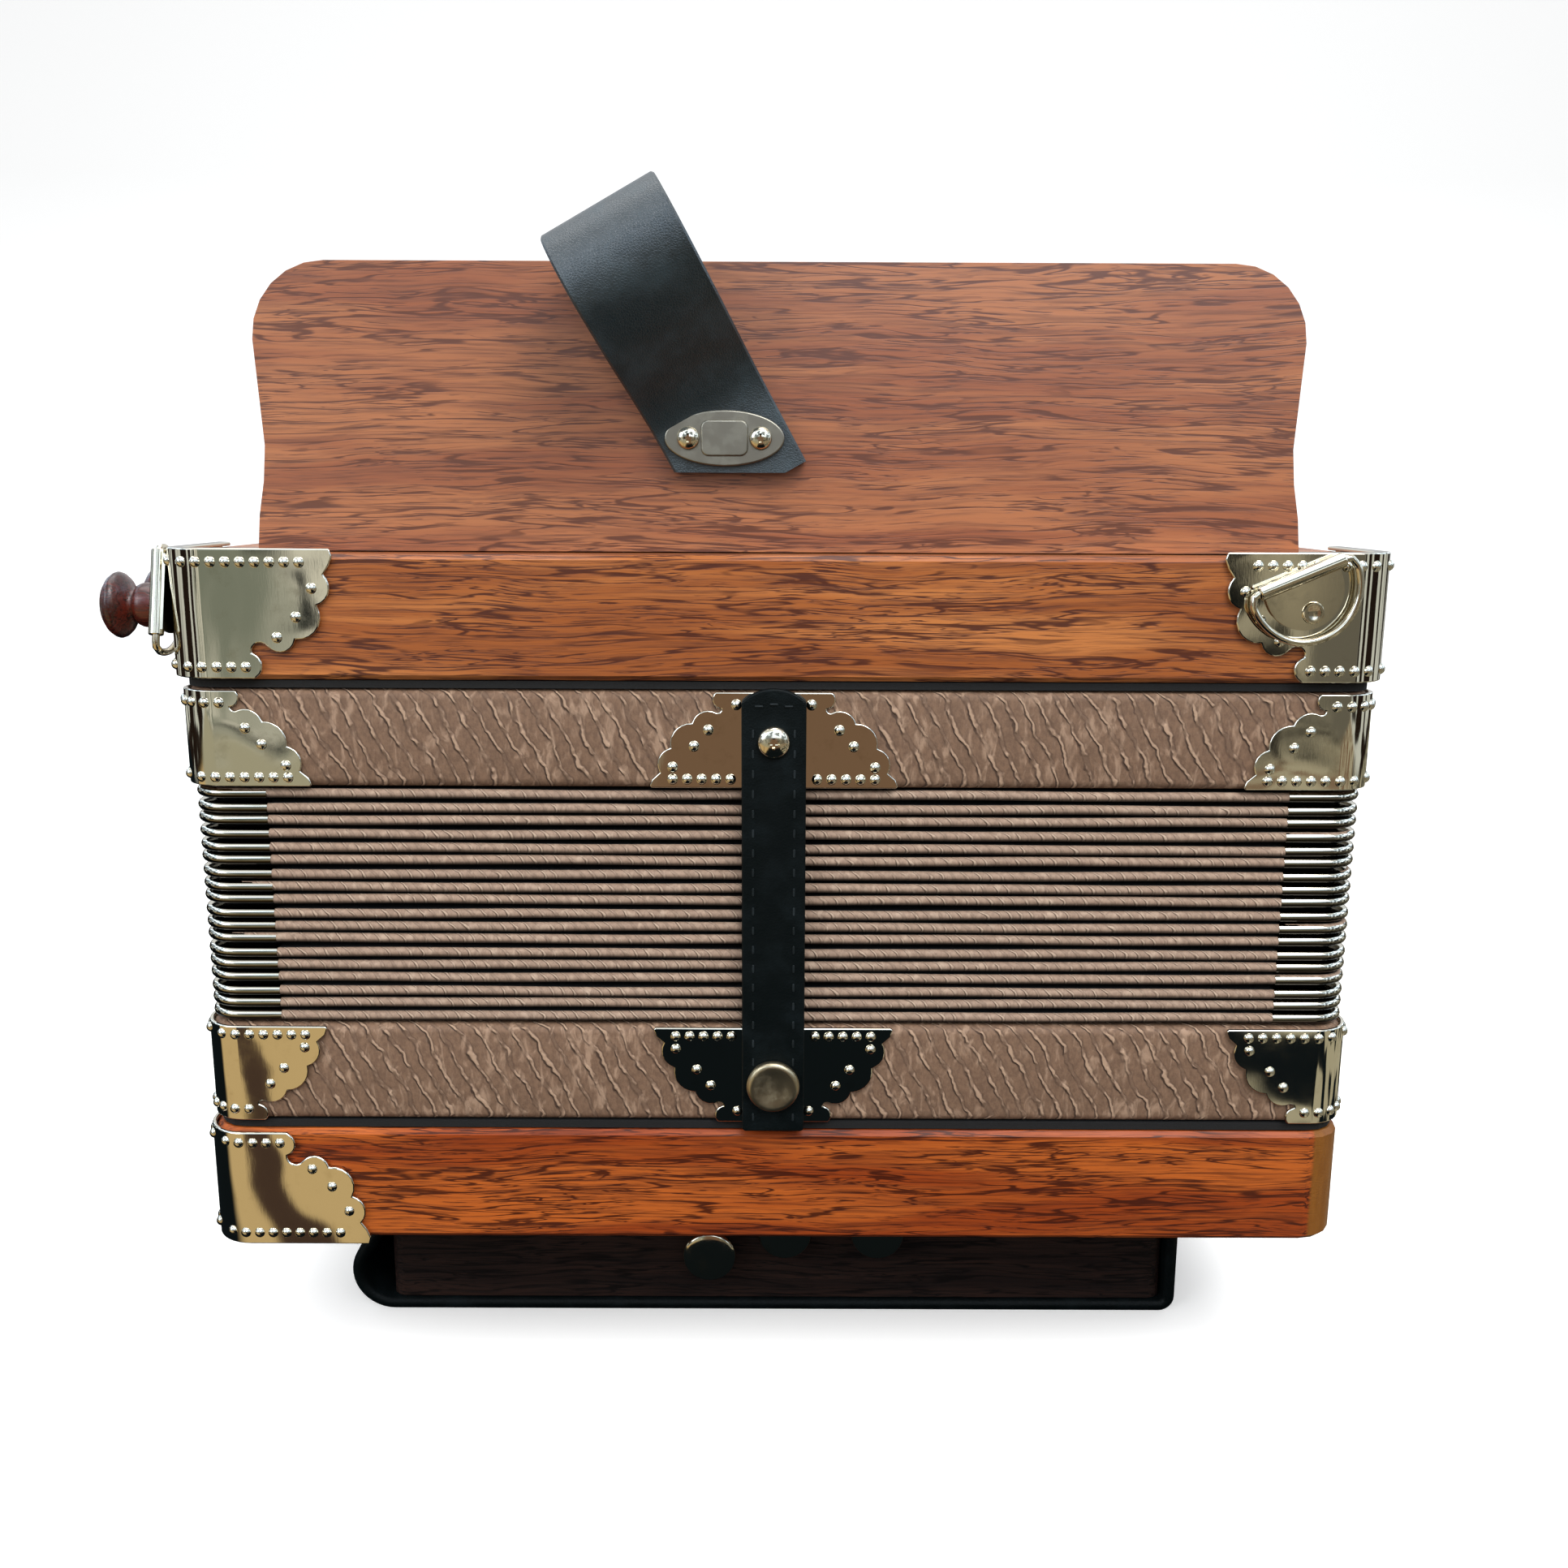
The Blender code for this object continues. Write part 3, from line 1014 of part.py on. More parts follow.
def thumb_strap():
    """A leather loop: both ends lie under the plate, and the loop stands out from the board's back."""
    half = THUMB_STRAP_THICK / 2
    centre = Vector((THUMB_LOOP_LENGTH, THUMB_LOOP_RADIUS + 2 * half + SEAT_GAP))
    start, end = (THUMB_LOOP_START, 0.0), (THUMB_LOOP_START, 4 * half)
    outer = loop_outline(centre, THUMB_LOOP_RADIUS + half, start, end)
    outer = [(-THUMB_TAIL, 0.0)] + outer + [(-THUMB_TAIL, 4 * half)]
    inside = THUMB_LOOP_START + THUMB_FILLET
    inner = loop_outline(centre, THUMB_LOOP_RADIUS - half, (inside, 2 * half), (inside, 2 * half + SEAT_GAP))
    bm = slab([outer, inner], THUMB_STRAP_WIDTH)
    lean = THUMB_STRAP_LEAN
    along = Vector((-math.sin(lean), 0, math.cos(lean)))
    out = Vector((0, -1, 0))
    across = along.cross(out)
    place = Matrix.Identity(4)
    for axis, vector in enumerate((along, out, across)):
        for row in range(3):
            place[row][axis] = vector[row]
    start = Vector((THUMB_X, BOARD_BACK_Y - SEAT_GAP, BOARD_BOTTOM + THUMB_HEIGHT))
    bm.transform(Matrix.Translation(start) @ place)
    strap = to_object("thumb_strap", bm, BLACK_LEATHER)
    trim = bmesh.new()
    low = start.z - THUMB_PLATE_WIDTH / 2 - THUMB_TRIM
    reach = 2 * THUMB_STRAP_WIDTH
    add_box(trim, (2 * reach, reach, reach), (THUMB_X, BOARD_BACK_Y, low - reach / 2))
    combine(strap, "DIFFERENCE", tool("strap_end_trim", trim))
    y = BOARD_BACK_Y - 2 * SEAT_GAP - 4 * half
    outline = [(x * THUMB_PLATE_LENGTH / 2, z * THUMB_PLATE_WIDTH / 2) for x, z in circle((0, 0), 1, 24)]
    plate = slab([outline], THUMB_PLATE_THICK)
    plate.transform(Matrix.Translation((THUMB_X, y - THUMB_PLATE_THICK / 2, start.z)) @ TO_XZ)
    obj = to_object("thumb_strap_plate", plate, NICKEL)
    screws = bmesh.new()
    for x in (-THUMB_SCREW_SPACING / 2, THUMB_SCREW_SPACING / 2):
        head = turned(
            [(0.0, THUMB_SCREW_HEAD), (THUMB_SCREW_RADIUS * 0.7, THUMB_SCREW_HEAD * 0.8),
             (THUMB_SCREW_RADIUS, 0.0), (THUMB_SCREW_RADIUS, -SCREW_SINK), (0.0, -SCREW_SINK)], 12,
        )
        place = Matrix.Translation((THUMB_X + x, y - THUMB_PLATE_THICK, start.z))
        append(screws, head, place @ Matrix.Rotation(math.pi / 2, 4, "X"))
    combine(obj, "UNION", tool("thumb_screws", screws))


def loop_outline(centre, radius, start, end):
    """From a start point along the tangent to a circle, round its far side and back to an end point."""
    points = [start]
    first = tangent_angle(centre, radius, start, -1)
    last = tangent_angle(centre, radius, end, 1)
    while last < first:
        last += 2 * math.pi
    for i in range(THUMB_LOOP_STEPS + 1):
        angle = first + (last - first) * i / THUMB_LOOP_STEPS
        points.append((centre.x + radius * math.cos(angle), centre.y + radius * math.sin(angle)))
    points.append(end)
    return points


def tangent_angle(centre, radius, point, way):
    """The angle at which a line from the point touches the circle, on the side named by way."""
    gap = Vector(point) - centre
    return math.atan2(gap.y, gap.x) - way * math.acos(min(radius / gap.length, 1.0))


def bracket_places():
    """Rear face at the right end, over the corner plate, and the left end face near the rear corner."""
    out = SEAT_GAP + PLATE_THICK + SEAT_GAP
    rear = Vector((CASE_WIDTH / 2 - BRACKET_FROM_END, REAR_Y - out, TREBLE_CASE_TOP - BRACKET_DROP))
    left = Vector((-CASE_WIDTH / 2 - out, REAR_Y + BRACKET_FROM_REAR, TREBLE_CASE_TOP - LEFT_BRACKET_DROP))
    lean, stand = BRACKET_LEAN, LEFT_BRACKET_LEAN
    return (
        ("rear", rear, Vector((math.cos(lean), 0, math.sin(lean))), Vector((0, -1, 0)), 0.0),
        ("left", left, Vector((0, math.sin(stand), math.cos(stand))), Vector((-1, 0, 0)), LEFT_RING_SLIDE),
    )


def bracket_frame(origin, along, out):
    """Axes of a bracket: X along its tube, Y away from the tube on the face, Z out of the face."""
    down = out.cross(along)
    place = Matrix.Identity(4)
    for axis, vector in enumerate((along, down, out)):
        for row in range(3):
            place[row][axis] = vector[row]
    return Matrix.Translation(origin) @ place


def brackets():
    tube = BRACKET_TUBE_RADIUS
    for name, origin, along, out, slide in bracket_places():
        place = bracket_frame(origin, along, out)
        down = -1 if place.to_3x3().col[1].z > 0 else 1
        half = BRACKET_LENGTH / 2
        reach = BRACKET_REACH * down
        lobe = quarter((0, reach), BRACKET_LOBE_RADIUS, 0, 180 * down, 6)
        ear = half - BRACKET_END_MARGIN
        shoulder = BRACKET_SHOULDER * down
        outline = [(-ear, 0), (ear, 0), (ear * 0.75, shoulder)] + lobe + [(-ear * 0.75, shoulder)]
        plate = slab([outline], BRACKET_THICK)
        plate.transform(place @ Matrix.Translation((0, 0, BRACKET_THICK / 2)))
        obj = to_object(f"ring_bracket_{name}", plate, NICKEL)
        barrel = bmesh.new()
        lift = tube + BARREL_LIFT
        add_rod(barrel, tube, (-half, 0, lift), (half, 0, lift))
        barrel.transform(place)
        rivet = turned(
            [(0.0, BRACKET_RIVET_HEAD), (BRACKET_RIVET_RADIUS * 0.7, BRACKET_RIVET_HEAD * 0.8),
             (BRACKET_RIVET_RADIUS, 0.0), (BRACKET_RIVET_RADIUS, -SCREW_SINK), (0.0, -SCREW_SINK)], 12,
        )
        rivet.transform(place @ Matrix.Translation((0, reach, BRACKET_THICK)))
        bore = bmesh.new()
        add_rod(bore, BRACKET_BORE_RADIUS, (-half * 2, 0, lift), (half * 2, 0, lift))
        bore.transform(place)
        combine(obj, "UNION", tool(f"barrel_{name}", barrel), tool(f"rivet_{name}", rivet))
        combine(obj, "DIFFERENCE", tool(f"barrel_bore_{name}", bore))
        d_ring(name, place @ Matrix.Translation((-slide, 0, 0)), down, lift)


def d_ring(name, place, down, lift):
    """A D of round wire whose straight side runs through the bracket's tube."""
    half, deep = RING_HALF_WIDTH, RING_DEPTH * down
    bend, drop, base = half - RING_END_BEND, RING_END_DROP * down, RING_ARC_START * down
    straight = [(-bend, 0), (0, 0), (bend, 0), (half - RING_END_DROP, drop)]
    arc = []
    for i in range(RING_STEPS + 1):
        angle = math.pi * i / RING_STEPS
        arc.append((half * math.cos(angle), base + (deep - base) * math.sin(angle)))
    path = straight + arc + [(RING_END_DROP - half, drop)]
    curve = bpy.data.curves.new(f"d_ring_{name}", "CURVE")
    curve.dimensions = "3D"
    curve.bevel_depth = RING_WIRE_RADIUS
    curve.bevel_resolution = 1
    spline = curve.splines.new("POLY")
    spline.points.add(len(path) - 1)
    for point, (x, y) in zip(spline.points, path):
        point.co = (x, y, 0, 1)
    spline.use_cyclic_u = True
    temporary = bpy.data.objects.new("ring", curve)
    CUTTERS.objects.link(temporary)
    bm = read_evaluated(temporary)
    bmesh.ops.remove_doubles(bm, verts=bm.verts[:], dist=WELD_DISTANCE)
    bm.transform(place @ Matrix.Translation((0, 0, lift)))
    to_object(f"d_ring_{name}", bm, NICKEL, origin=place @ Vector((0, 0, lift)))


def build():
    bass_case()
    bass_box()
    bass_action()
    bass_reeds()
    hand_strap()
    gasket = (CASE_WIDTH - 2 * GASKET_INSET, CASE_DEPTH - 2 * GASKET_INSET, CASE_CORNER - GASKET_INSET)
    seal = GASKET_HEIGHT - 2 * SEAT_GAP
    ring("bass_gasket", *gasket, GASKET_WALL, BASS_CASE_TOP + SEAT_GAP, seal, 0, BLACK_FELT)
    ring("treble_gasket", *gasket, GASKET_WALL, TREBLE_FRAME_TOP + SEAT_GAP, seal, 0, BLACK_FELT)
    plan = (FRAME_WIDTH, FRAME_DEPTH, FRAME_CORNER, FRAME_WALL)
    frame = ring("bass_frame", *plan, BASS_FRAME_BOTTOM, BASS_FRAME_HEIGHT, FRAME_EDGE, TAUPE)
    frame_plates("bass_frame", frame, BASS_FRAME_BOTTOM, BASS_FRAME_HEIGHT, False)
    frame = ring("treble_frame", *plan, TREBLE_FRAME_BOTTOM, TREBLE_FRAME_HEIGHT, FRAME_EDGE, TAUPE)
    frame_plates("treble_frame", frame, TREBLE_FRAME_BOTTOM, TREBLE_FRAME_HEIGHT, True)
    bellows()
    treble_case()
    action_board()
    for name, side in CORNERS:
        case_corner(f"treble_corner_{name}", side, TREBLE_CASE_BOTTOM, TREBLE_CASE_HEIGHT, False)
        if name != "rear_right":
            case_corner(f"bass_corner_{name}", side, BASS_CASE_BOTTOM, BASS_CASE_HEIGHT, True)
    fingerboard()
    keys()
    stops()
    reed_blocks()
    bellows_strap("rear", -1)
    bellows_strap("front", 1)
    thumb_strap()
    brackets()


build()
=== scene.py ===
import json
import math

import bmesh
import bpy
import numpy as np
from mathutils import Matrix, Vector

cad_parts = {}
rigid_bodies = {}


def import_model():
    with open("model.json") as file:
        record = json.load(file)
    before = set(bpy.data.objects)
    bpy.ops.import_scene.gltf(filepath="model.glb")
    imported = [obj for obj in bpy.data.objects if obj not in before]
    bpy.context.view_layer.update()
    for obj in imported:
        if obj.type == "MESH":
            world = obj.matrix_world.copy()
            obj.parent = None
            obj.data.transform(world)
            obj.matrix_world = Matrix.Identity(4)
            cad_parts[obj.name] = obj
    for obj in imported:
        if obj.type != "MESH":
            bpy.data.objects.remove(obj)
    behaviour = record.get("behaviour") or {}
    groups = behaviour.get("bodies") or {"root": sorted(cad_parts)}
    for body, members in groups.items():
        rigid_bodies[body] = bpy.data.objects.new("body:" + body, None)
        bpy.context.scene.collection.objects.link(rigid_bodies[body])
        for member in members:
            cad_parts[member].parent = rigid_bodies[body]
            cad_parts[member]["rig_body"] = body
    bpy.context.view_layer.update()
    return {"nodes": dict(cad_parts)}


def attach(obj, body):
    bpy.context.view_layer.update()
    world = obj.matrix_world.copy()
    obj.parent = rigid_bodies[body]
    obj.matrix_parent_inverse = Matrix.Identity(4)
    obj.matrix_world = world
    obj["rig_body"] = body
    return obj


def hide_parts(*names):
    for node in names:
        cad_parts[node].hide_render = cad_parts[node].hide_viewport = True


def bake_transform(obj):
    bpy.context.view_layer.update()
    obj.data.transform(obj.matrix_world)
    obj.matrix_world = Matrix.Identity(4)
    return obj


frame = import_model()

MM = 0.001

# Sizes repeated from the CAD source
CASE_WIDTH, CASE_DEPTH, CASE_CORNER = 294 * MM, 170 * MM, 10 * MM
FRAME_WIDTH, FRAME_DEPTH, FRAME_CORNER, FRAME_WALL = 292 * MM, 168 * MM, 9 * MM, 9 * MM
BASS_CASE_BOTTOM = 45 * MM
BASS_FRAME_BOTTOM, BASS_FRAME_TOP = 77.4 * MM, 103.4 * MM
TREBLE_FRAME_BOTTOM, TREBLE_FRAME_TOP = 165 * MM, 189.2 * MM
TREBLE_CASE_BOTTOM, TREBLE_CASE_TOP = 191.6 * MM, 221.6 * MM
SEAT_GAP = 0.3 * MM
BARE_CORNER = (CASE_WIDTH / 2 - 8.2 * MM, -CASE_DEPTH / 2 + 8.2 * MM)
FOLD_COUNT = 18
FOLD_DEPTH, FOLD_INSET, BORE_INSET = 11 * MM, 0.4 * MM, 19 * MM
PLATE_THICK, PLATE_LIP = 1.0 * MM, 2.6 * MM
CASE_PLATE_TALL, CASE_REACH, CASE_FOOT = 29.7 * MM, 41.5 * MM, 19.5 * MM
FRAME_REACH, FRAME_FOOT = 32 * MM, 15 * MM
CENTRE_REACH, CENTRE_FOOT = 30.5 * MM, 14.5 * MM
STRAP_X, STRAP_WIDTH, STRAP_THICK = -1.0 * MM, 15.7 * MM, 2.2 * MM
STRAP_TOP_RISE = 3.3 * MM
SEAM_X, STITCH_PITCH = 5.05 * MM, 4.95 * MM
STRAP_HINGE_Z, STRAP_FOOT_Z, STRAP_TOP_Z = 170.2 * MM, 76.2 * MM, 190.1 * MM
STRAP_FACE = 85.3 * MM
STRAP_SCREW_Z, SNAP_Z = 177.1 * MM, 89.0 * MM
KEY_PITCH, KEY_COUNT = 22 * MM, 10
KEY_X = [(i - (KEY_COUNT - 1) / 2) * KEY_PITCH for i in range(KEY_COUNT)]
BUTTON_Z, BUTTON_BACK_Y, BUTTON_RADIUS = 277.9 * MM, -54 * MM, 6.5 * MM
STOP_Y = [-44 * MM, -18 * MM, 8 * MM, 34 * MM]
STOP_Z, STOP_STAND_OFF, KNOB_RADIUS = 206.1 * MM, 15 * MM, 8.8 * MM
THUMB_START = Vector((-13 * MM, -73.3 * MM, 248.9 * MM))
THUMB_LEAN = math.radians(29)
THUMB_WIDTH, THUMB_THICK, THUMB_SCREW_X = 29 * MM, 2.0 * MM, 8.6 * MM
THUMB_LOOP_LENGTH, THUMB_LOOP_RADIUS = 43 * MM, 13.5 * MM
BOX_END = 113 * MM
HAND_STRAP_THICK, HAND_STRAP_WIDTH = 3.7 * MM, 92 * MM
HAND_STRAP_BEND, HAND_STRAP_SNUG_BEND, HAND_STRAP_TOP_BEND = 10.2 * MM, 2.6 * MM, 4 * MM
HAND_STRAP_SLACK, HAND_STRAP_TAIL = 7.35 * MM, 13 * MM
RING_LIFT, BRACKET_OUT = 2.0 * MM, 1.6 * MM
REAR_BRACKET = (CASE_WIDTH / 2 - 23.8 * MM, -CASE_DEPTH / 2 - BRACKET_OUT, TREBLE_CASE_TOP - 4.2 * MM)
LEFT_BRACKET = (-CASE_WIDTH / 2 - BRACKET_OUT, -CASE_DEPTH / 2 + 6.3 * MM, TREBLE_CASE_TOP - 9.6 * MM)
REAR_RING_LEAN, LEFT_RING_LEAN, LEFT_RING_SLIDE = math.radians(23), math.radians(16), 1.2 * MM
DISC_FACE_Y, DISC_RADIUS = -49.3 * MM, 7.7 * MM
DISCS = {"bass_button_1": (2.3 * MM, 27.5 * MM), "bass_button_2": (28.9 * MM, 27.5 * MM),
         "air_button": (-19.4 * MM, 20.6 * MM)}

# The photo's camera, solved from the edges of the case
LENS, SENSOR_WIDTH = 33.13, 36
CAMERA_PLACE, CAMERA_PITCH, CAMERA_ROLL = (0.0012, -0.4309, 0.2374), math.radians(78.4), math.radians(-0.23)

TO_XZ = Matrix(((1, 0, 0, 0), (0, 0, -1, 0), (0, 1, 0, 0), (0, 0, 0, 1)))


# Colours and node helpers

def linear(text):
    """An sRGB hex colour as linear values."""
    parts = [int(text[i:i + 2], 16) / 255 for i in (1, 3, 5)]
    return (*[c / 12.92 if c <= 0.04045 else ((c + 0.055) / 1.055) ** 2.4 for c in parts], 1.0)


def add(tree, kind, inputs=None, **settings):
    """Add one node, set its properties, and set or link its inputs by name or number."""
    made = tree.nodes.new(kind)
    for key, value in settings.items():
        setattr(made, key, value)
    for key, value in (inputs or {}).items():
        if isinstance(value, bpy.types.NodeSocket):
            tree.links.new(value, made.inputs[key])
        else:
            made.inputs[key].default_value = value
    return made


def material(name, **surface):
    """A Principled material with the given inputs set, an underscore standing for a space."""
    made = bpy.data.materials.new(name)
    made.use_nodes = True
    shader = made.node_tree.nodes["Principled BSDF"]
    for key, value in surface.items():
        shader.inputs[key.replace("_", " ")].default_value = value
    return made, made.node_tree, shader


def object_place(tree):
    return add(tree, "ShaderNodeTexCoord").outputs["Object"]


def in_steps(tree, place, x, y, z):
    """A place measured in steps of the given number of millimetres."""
    scale = (1000 / x, 1000 / y, 1000 / z)
    return add(tree, "ShaderNodeMapping", {"Vector": place, "Scale": scale}).outputs[0]


def spaced(tree, x, y, z):
    """Object coordinates in steps of the given number of millimetres."""
    return in_steps(tree, object_place(tree), x, y, z)


def upward(tree):
    """How far the surface faces up, from -1 to 1."""
    normal = add(tree, "ShaderNodeNewGeometry").outputs["Normal"]
    return add(tree, "ShaderNodeSeparateXYZ", {0: normal}).outputs[2]


def noise(tree, vector, detail=3.0, rough=0.55, distortion=0.0):
    values = {"Vector": vector, "Scale": 1.0, "Detail": detail, "Roughness": rough, "Distortion": distortion}
    return add(tree, "ShaderNodeTexNoise", values).outputs[0]


def ramp(tree, value, low, high, to_low=0.0, to_high=1.0):
    values = {"Value": value, 1: low, 2: high, 3: to_low, 4: to_high}
    return add(tree, "ShaderNodeMapRange", values, interpolation_type="SMOOTHSTEP").outputs[0]


def mix(tree, factor, a, b):
    made = add(tree, "ShaderNodeMix", data_type="RGBA")
    for index, value in ((0, factor), (6, a), (7, b)):
        if isinstance(value, bpy.types.NodeSocket):
            tree.links.new(value, made.inputs[index])
        else:
            made.inputs[index].default_value = value
    return made.outputs[2]


def calc(tree, operation, a, b=0.0):
    return add(tree, "ShaderNodeMath", {0: a, 1: b}, operation=operation).outputs[0]


def bump(tree, height, distance, strength=1.0, normal=None):
    values = {"Height": height, "Distance": distance, "Strength": strength}
    if normal:
        values["Normal"] = normal
    return add(tree, "ShaderNodeBump", values).outputs[0]


def wavy(tree, x, y, z, sway=7.0):
    """Object coordinates in the given steps, with the grain lines drawn up and down by a slow noise."""
    drift = calc(tree, "SUBTRACT", noise(tree, spaced(tree, 75, 30, 30), 2.0), 0.5)
    lift = add(tree, "ShaderNodeCombineXYZ", {"Z": calc(tree, "MULTIPLY", drift, sway * MM)}).outputs[0]
    moved = add(tree, "ShaderNodeVectorMath", {0: object_place(tree), 1: lift}, operation="ADD").outputs[0]
    return in_steps(tree, moved, x, y, z)


def vein_lines(tree, length, across, start, end):
    """Thin lines along the grain, where a stretched noise passes through its middle value."""
    field = noise(tree, wavy(tree, length, across, across), 2.5, 0.55, 0.4)
    distance = calc(tree, "ABSOLUTE", calc(tree, "SUBTRACT", field, 0.5))
    return ramp(tree, distance, start, end, 1.0, 0.0)


def worn_to_solid(tree, base, solid, grain_tone):
    """The rear right corner of the bass case, where no plate covers the solid wood."""
    x, y, z = add(tree, "ShaderNodeSeparateXYZ", {0: object_place(tree)}).outputs
    corner_x, corner_y = BARE_CORNER
    side = ramp(tree, x, corner_x - 0.6 * MM, corner_x + 0.6 * MM)
    rear = ramp(tree, y, corner_y + 0.6 * MM, corner_y - 0.6 * MM)
    grain = noise(tree, spaced(tree, 1.6, 1.6, 9), 3.0)
    bare = mix(tree, grain, linear(solid), linear(grain_tone))
    return mix(tree, calc(tree, "MULTIPLY", side, rear), base, bare)


def wood(name, light, middle, streak, roughness, coat=0.35, shine=0.35, bare=None):
    """Laminate with the grain along X: tone bands, thin veins, fibres and short dark pores."""
    made, tree, shader = material(
        name, Roughness=roughness, Coat_Weight=coat, Coat_Roughness=0.28, Specular_IOR_Level=shine)
    bands = ramp(tree, noise(tree, wavy(tree, 120, 9, 9), 2.0, 0.5, 0.4), 0.38, 0.62)
    fibres = noise(tree, wavy(tree, 26, 0.8, 0.8), 4.0, 0.62, 0.3)
    pores = noise(tree, wavy(tree, 12, 0.44, 0.44), 2.0, 0.6, 0.5)
    patches = noise(tree, wavy(tree, 34, 6, 6), 2.0, 0.5, 0.5)
    base = mix(tree, bands, linear(light), linear(middle))
    base = mix(tree, ramp(tree, fibres, 0.42, 0.7, 0.0, 0.55), base, linear(streak))
    long_lines = calc(tree, "MULTIPLY", vein_lines(tree, 48, 3.0, 0.008, 0.034),
                      ramp(tree, patches, 0.3, 0.44, 0.25, 1.0))
    short_lines = calc(tree, "MULTIPLY", vein_lines(tree, 27, 2.1, 0.005, 0.026),
                       ramp(tree, patches, 0.48, 0.6))
    marks = calc(tree, "MULTIPLY", ramp(tree, pores, 0.56, 0.62), ramp(tree, patches, 0.38, 0.55, 0.35, 1.0))
    dark = calc(tree, "MAXIMUM", calc(tree, "MAXIMUM", long_lines, short_lines), marks)
    base = mix(tree, calc(tree, "MULTIPLY", dark, 0.92), base, linear(streak))
    if bare:
        base = worn_to_solid(tree, base, *bare)
    tree.links.new(base, shader.inputs["Base Color"])
    dull = ramp(tree, fibres, 0.3, 0.7, roughness - 0.05, roughness + 0.1)
    tree.links.new(dull, shader.inputs["Roughness"])
    tree.links.new(bump(tree, calc(tree, "SUBTRACT", fibres, dark), 0.05 * MM, 0.5), shader.inputs["Normal"])
    return made


def wave_lines(tree, run, shift=0.0):
    """A sine over the run, one turn for each unit."""
    return calc(tree, "SINE", calc(tree, "MULTIPLY", calc(tree, "ADD", run, shift), 2 * math.pi))


def leatherette(name, base, ridge, groove, pitch, waviness, height, shaded=None):
    """Covered card: thin raised wavy lines that run down to the right, over a fine pebbled grain."""
    made, tree, shader = material(name, Roughness=0.66, Specular_IOR_Level=0.35)
    slope = (1000 / pitch, 1000 / pitch, 520 / pitch)
    place = {0: object_place(tree), 1: slope}
    straight = add(tree, "ShaderNodeVectorMath", place, operation="DOT_PRODUCT").outputs["Value"]
    sway = calc(tree, "MULTIPLY", noise(tree, spaced(tree, 9, 9, 9), 3.0, 0.6), waviness)
    run = calc(tree, "ADD", straight, sway)
    wave = wave_lines(tree, run)
    gaps = ramp(tree, noise(tree, spaced(tree, 4.2, 4.2, 6), 2.0), 0.42, 0.56, 0.1, 1.0)
    ridges = calc(tree, "MULTIPLY", ramp(tree, wave, 0.66, 1.0), gaps)
    hollows = calc(tree, "SUBTRACT", ramp(tree, wave, 0.1, 0.6), ridges)
    mottle = ramp(tree, noise(tree, spaced(tree, 0.9, 0.9, 1.6), 4.0, 0.7), 0.35, 0.65, 0, 0.35)
    tone = mix(tree, mottle, linear(base), linear(groove))
    tone = mix(tree, calc(tree, "MULTIPLY", hollows, 0.35), tone, linear(groove))
    # Painted sheen: light patches mixed into the colour as highlights
    painted_sheen = ramp(tree, noise(tree, spaced(tree, 2.6, 2.6, 6.5), 3.0, 0.6, 0.6), 0.5, 0.72, 0.0, 0.6)
    tone = mix(tree, painted_sheen, tone, linear(ridge))
    tone = mix(tree, calc(tree, "MULTIPLY", ridges, 0.8), tone, linear(ridge))
    # Painted shadow: a thin dark line along one side of each ridge
    ridge_shadow_line = calc(tree, "MULTIPLY", ramp(tree, wave_lines(tree, run, 0.13), 0.9, 0.99), gaps)
    tone = mix(tree, calc(tree, "MULTIPLY", ridge_shadow_line, 0.75), tone, linear(groove))
    # Painted shade: faces that turn downward are darkened towards the shaded colour
    if shaded:
        tone = mix(tree, ramp(tree, upward(tree), 0.1, -0.85, 0.0, 0.9), tone, linear(shaded))
    steps = {"Vector": spaced(tree, 0.5, 0.5, 0.5), "Scale": 1.0}
    grain = add(tree, "ShaderNodeTexVoronoi", steps).outputs[0]
    tree.links.new(tone, shader.inputs["Base Color"])
    relief = bump(tree, ridges, height, 1.0)
    tree.links.new(bump(tree, grain, 0.05 * MM, 0.6, relief), shader.inputs["Normal"])
    return made


def leather(name, colour, worn, roughness, grain_size, shine=0.25):
    made, tree, shader = material(name, Roughness=roughness, Specular_IOR_Level=shine)
    steps = {"Vector": spaced(tree, grain_size, grain_size, grain_size), "Scale": 1.0}
    cells = add(tree, "ShaderNodeTexVoronoi", steps, feature="DISTANCE_TO_EDGE").outputs[0]
    folds = noise(tree, spaced(tree, 9, 9, 9), 4.0, 0.6)
    tone = mix(tree, ramp(tree, folds, 0.45, 0.75), linear(colour), linear(worn))
    tree.links.new(tone, shader.inputs["Base Color"])
    dull = ramp(tree, folds, 0.3, 0.7, roughness - 0.05, roughness + 0.08)
    tree.links.new(dull, shader.inputs["Roughness"])
    relief = bump(tree, folds, 0.25 * MM, 0.35)
    tree.links.new(bump(tree, ramp(tree, cells, 0.0, 0.25), 0.05 * MM, 0.6, relief), shader.inputs["Normal"])
    return made


def metal(name, colour, stain, roughness, wave_height, underside_shade=None):
    """Plated sheet: a slow unevenness bends the reflections, and fine marks dull it in places."""
    made, tree, shader = material(name, Metallic=1.0, Roughness=roughness)
    slow = noise(tree, spaced(tree, 21, 21, 21), 1.0, 0.4)
    spots = noise(tree, spaced(tree, 6, 6, 6), 5.0, 0.65)
    fine = noise(tree, spaced(tree, 0.5, 0.5, 3.0), 3.0, 0.6)
    tone = mix(tree, ramp(tree, spots, 0.52, 0.8, 0, 0.5), linear(colour), linear(stain))
    # Painted shade: faces turned downward are darkened towards the given colour
    if underside_shade:
        tone = mix(tree, ramp(tree, upward(tree), 0.45, -0.35), tone, linear(underside_shade))
    tree.links.new(tone, shader.inputs["Base Color"])
    dull = ramp(tree, spots, 0.45, 0.8, roughness * 0.85, roughness * 1.6)
    tree.links.new(dull, shader.inputs["Roughness"])
    relief = bump(tree, slow, wave_height, 1.0)
    tree.links.new(bump(tree, fine, 0.004 * MM, 0.4, relief), shader.inputs["Normal"])
    return made


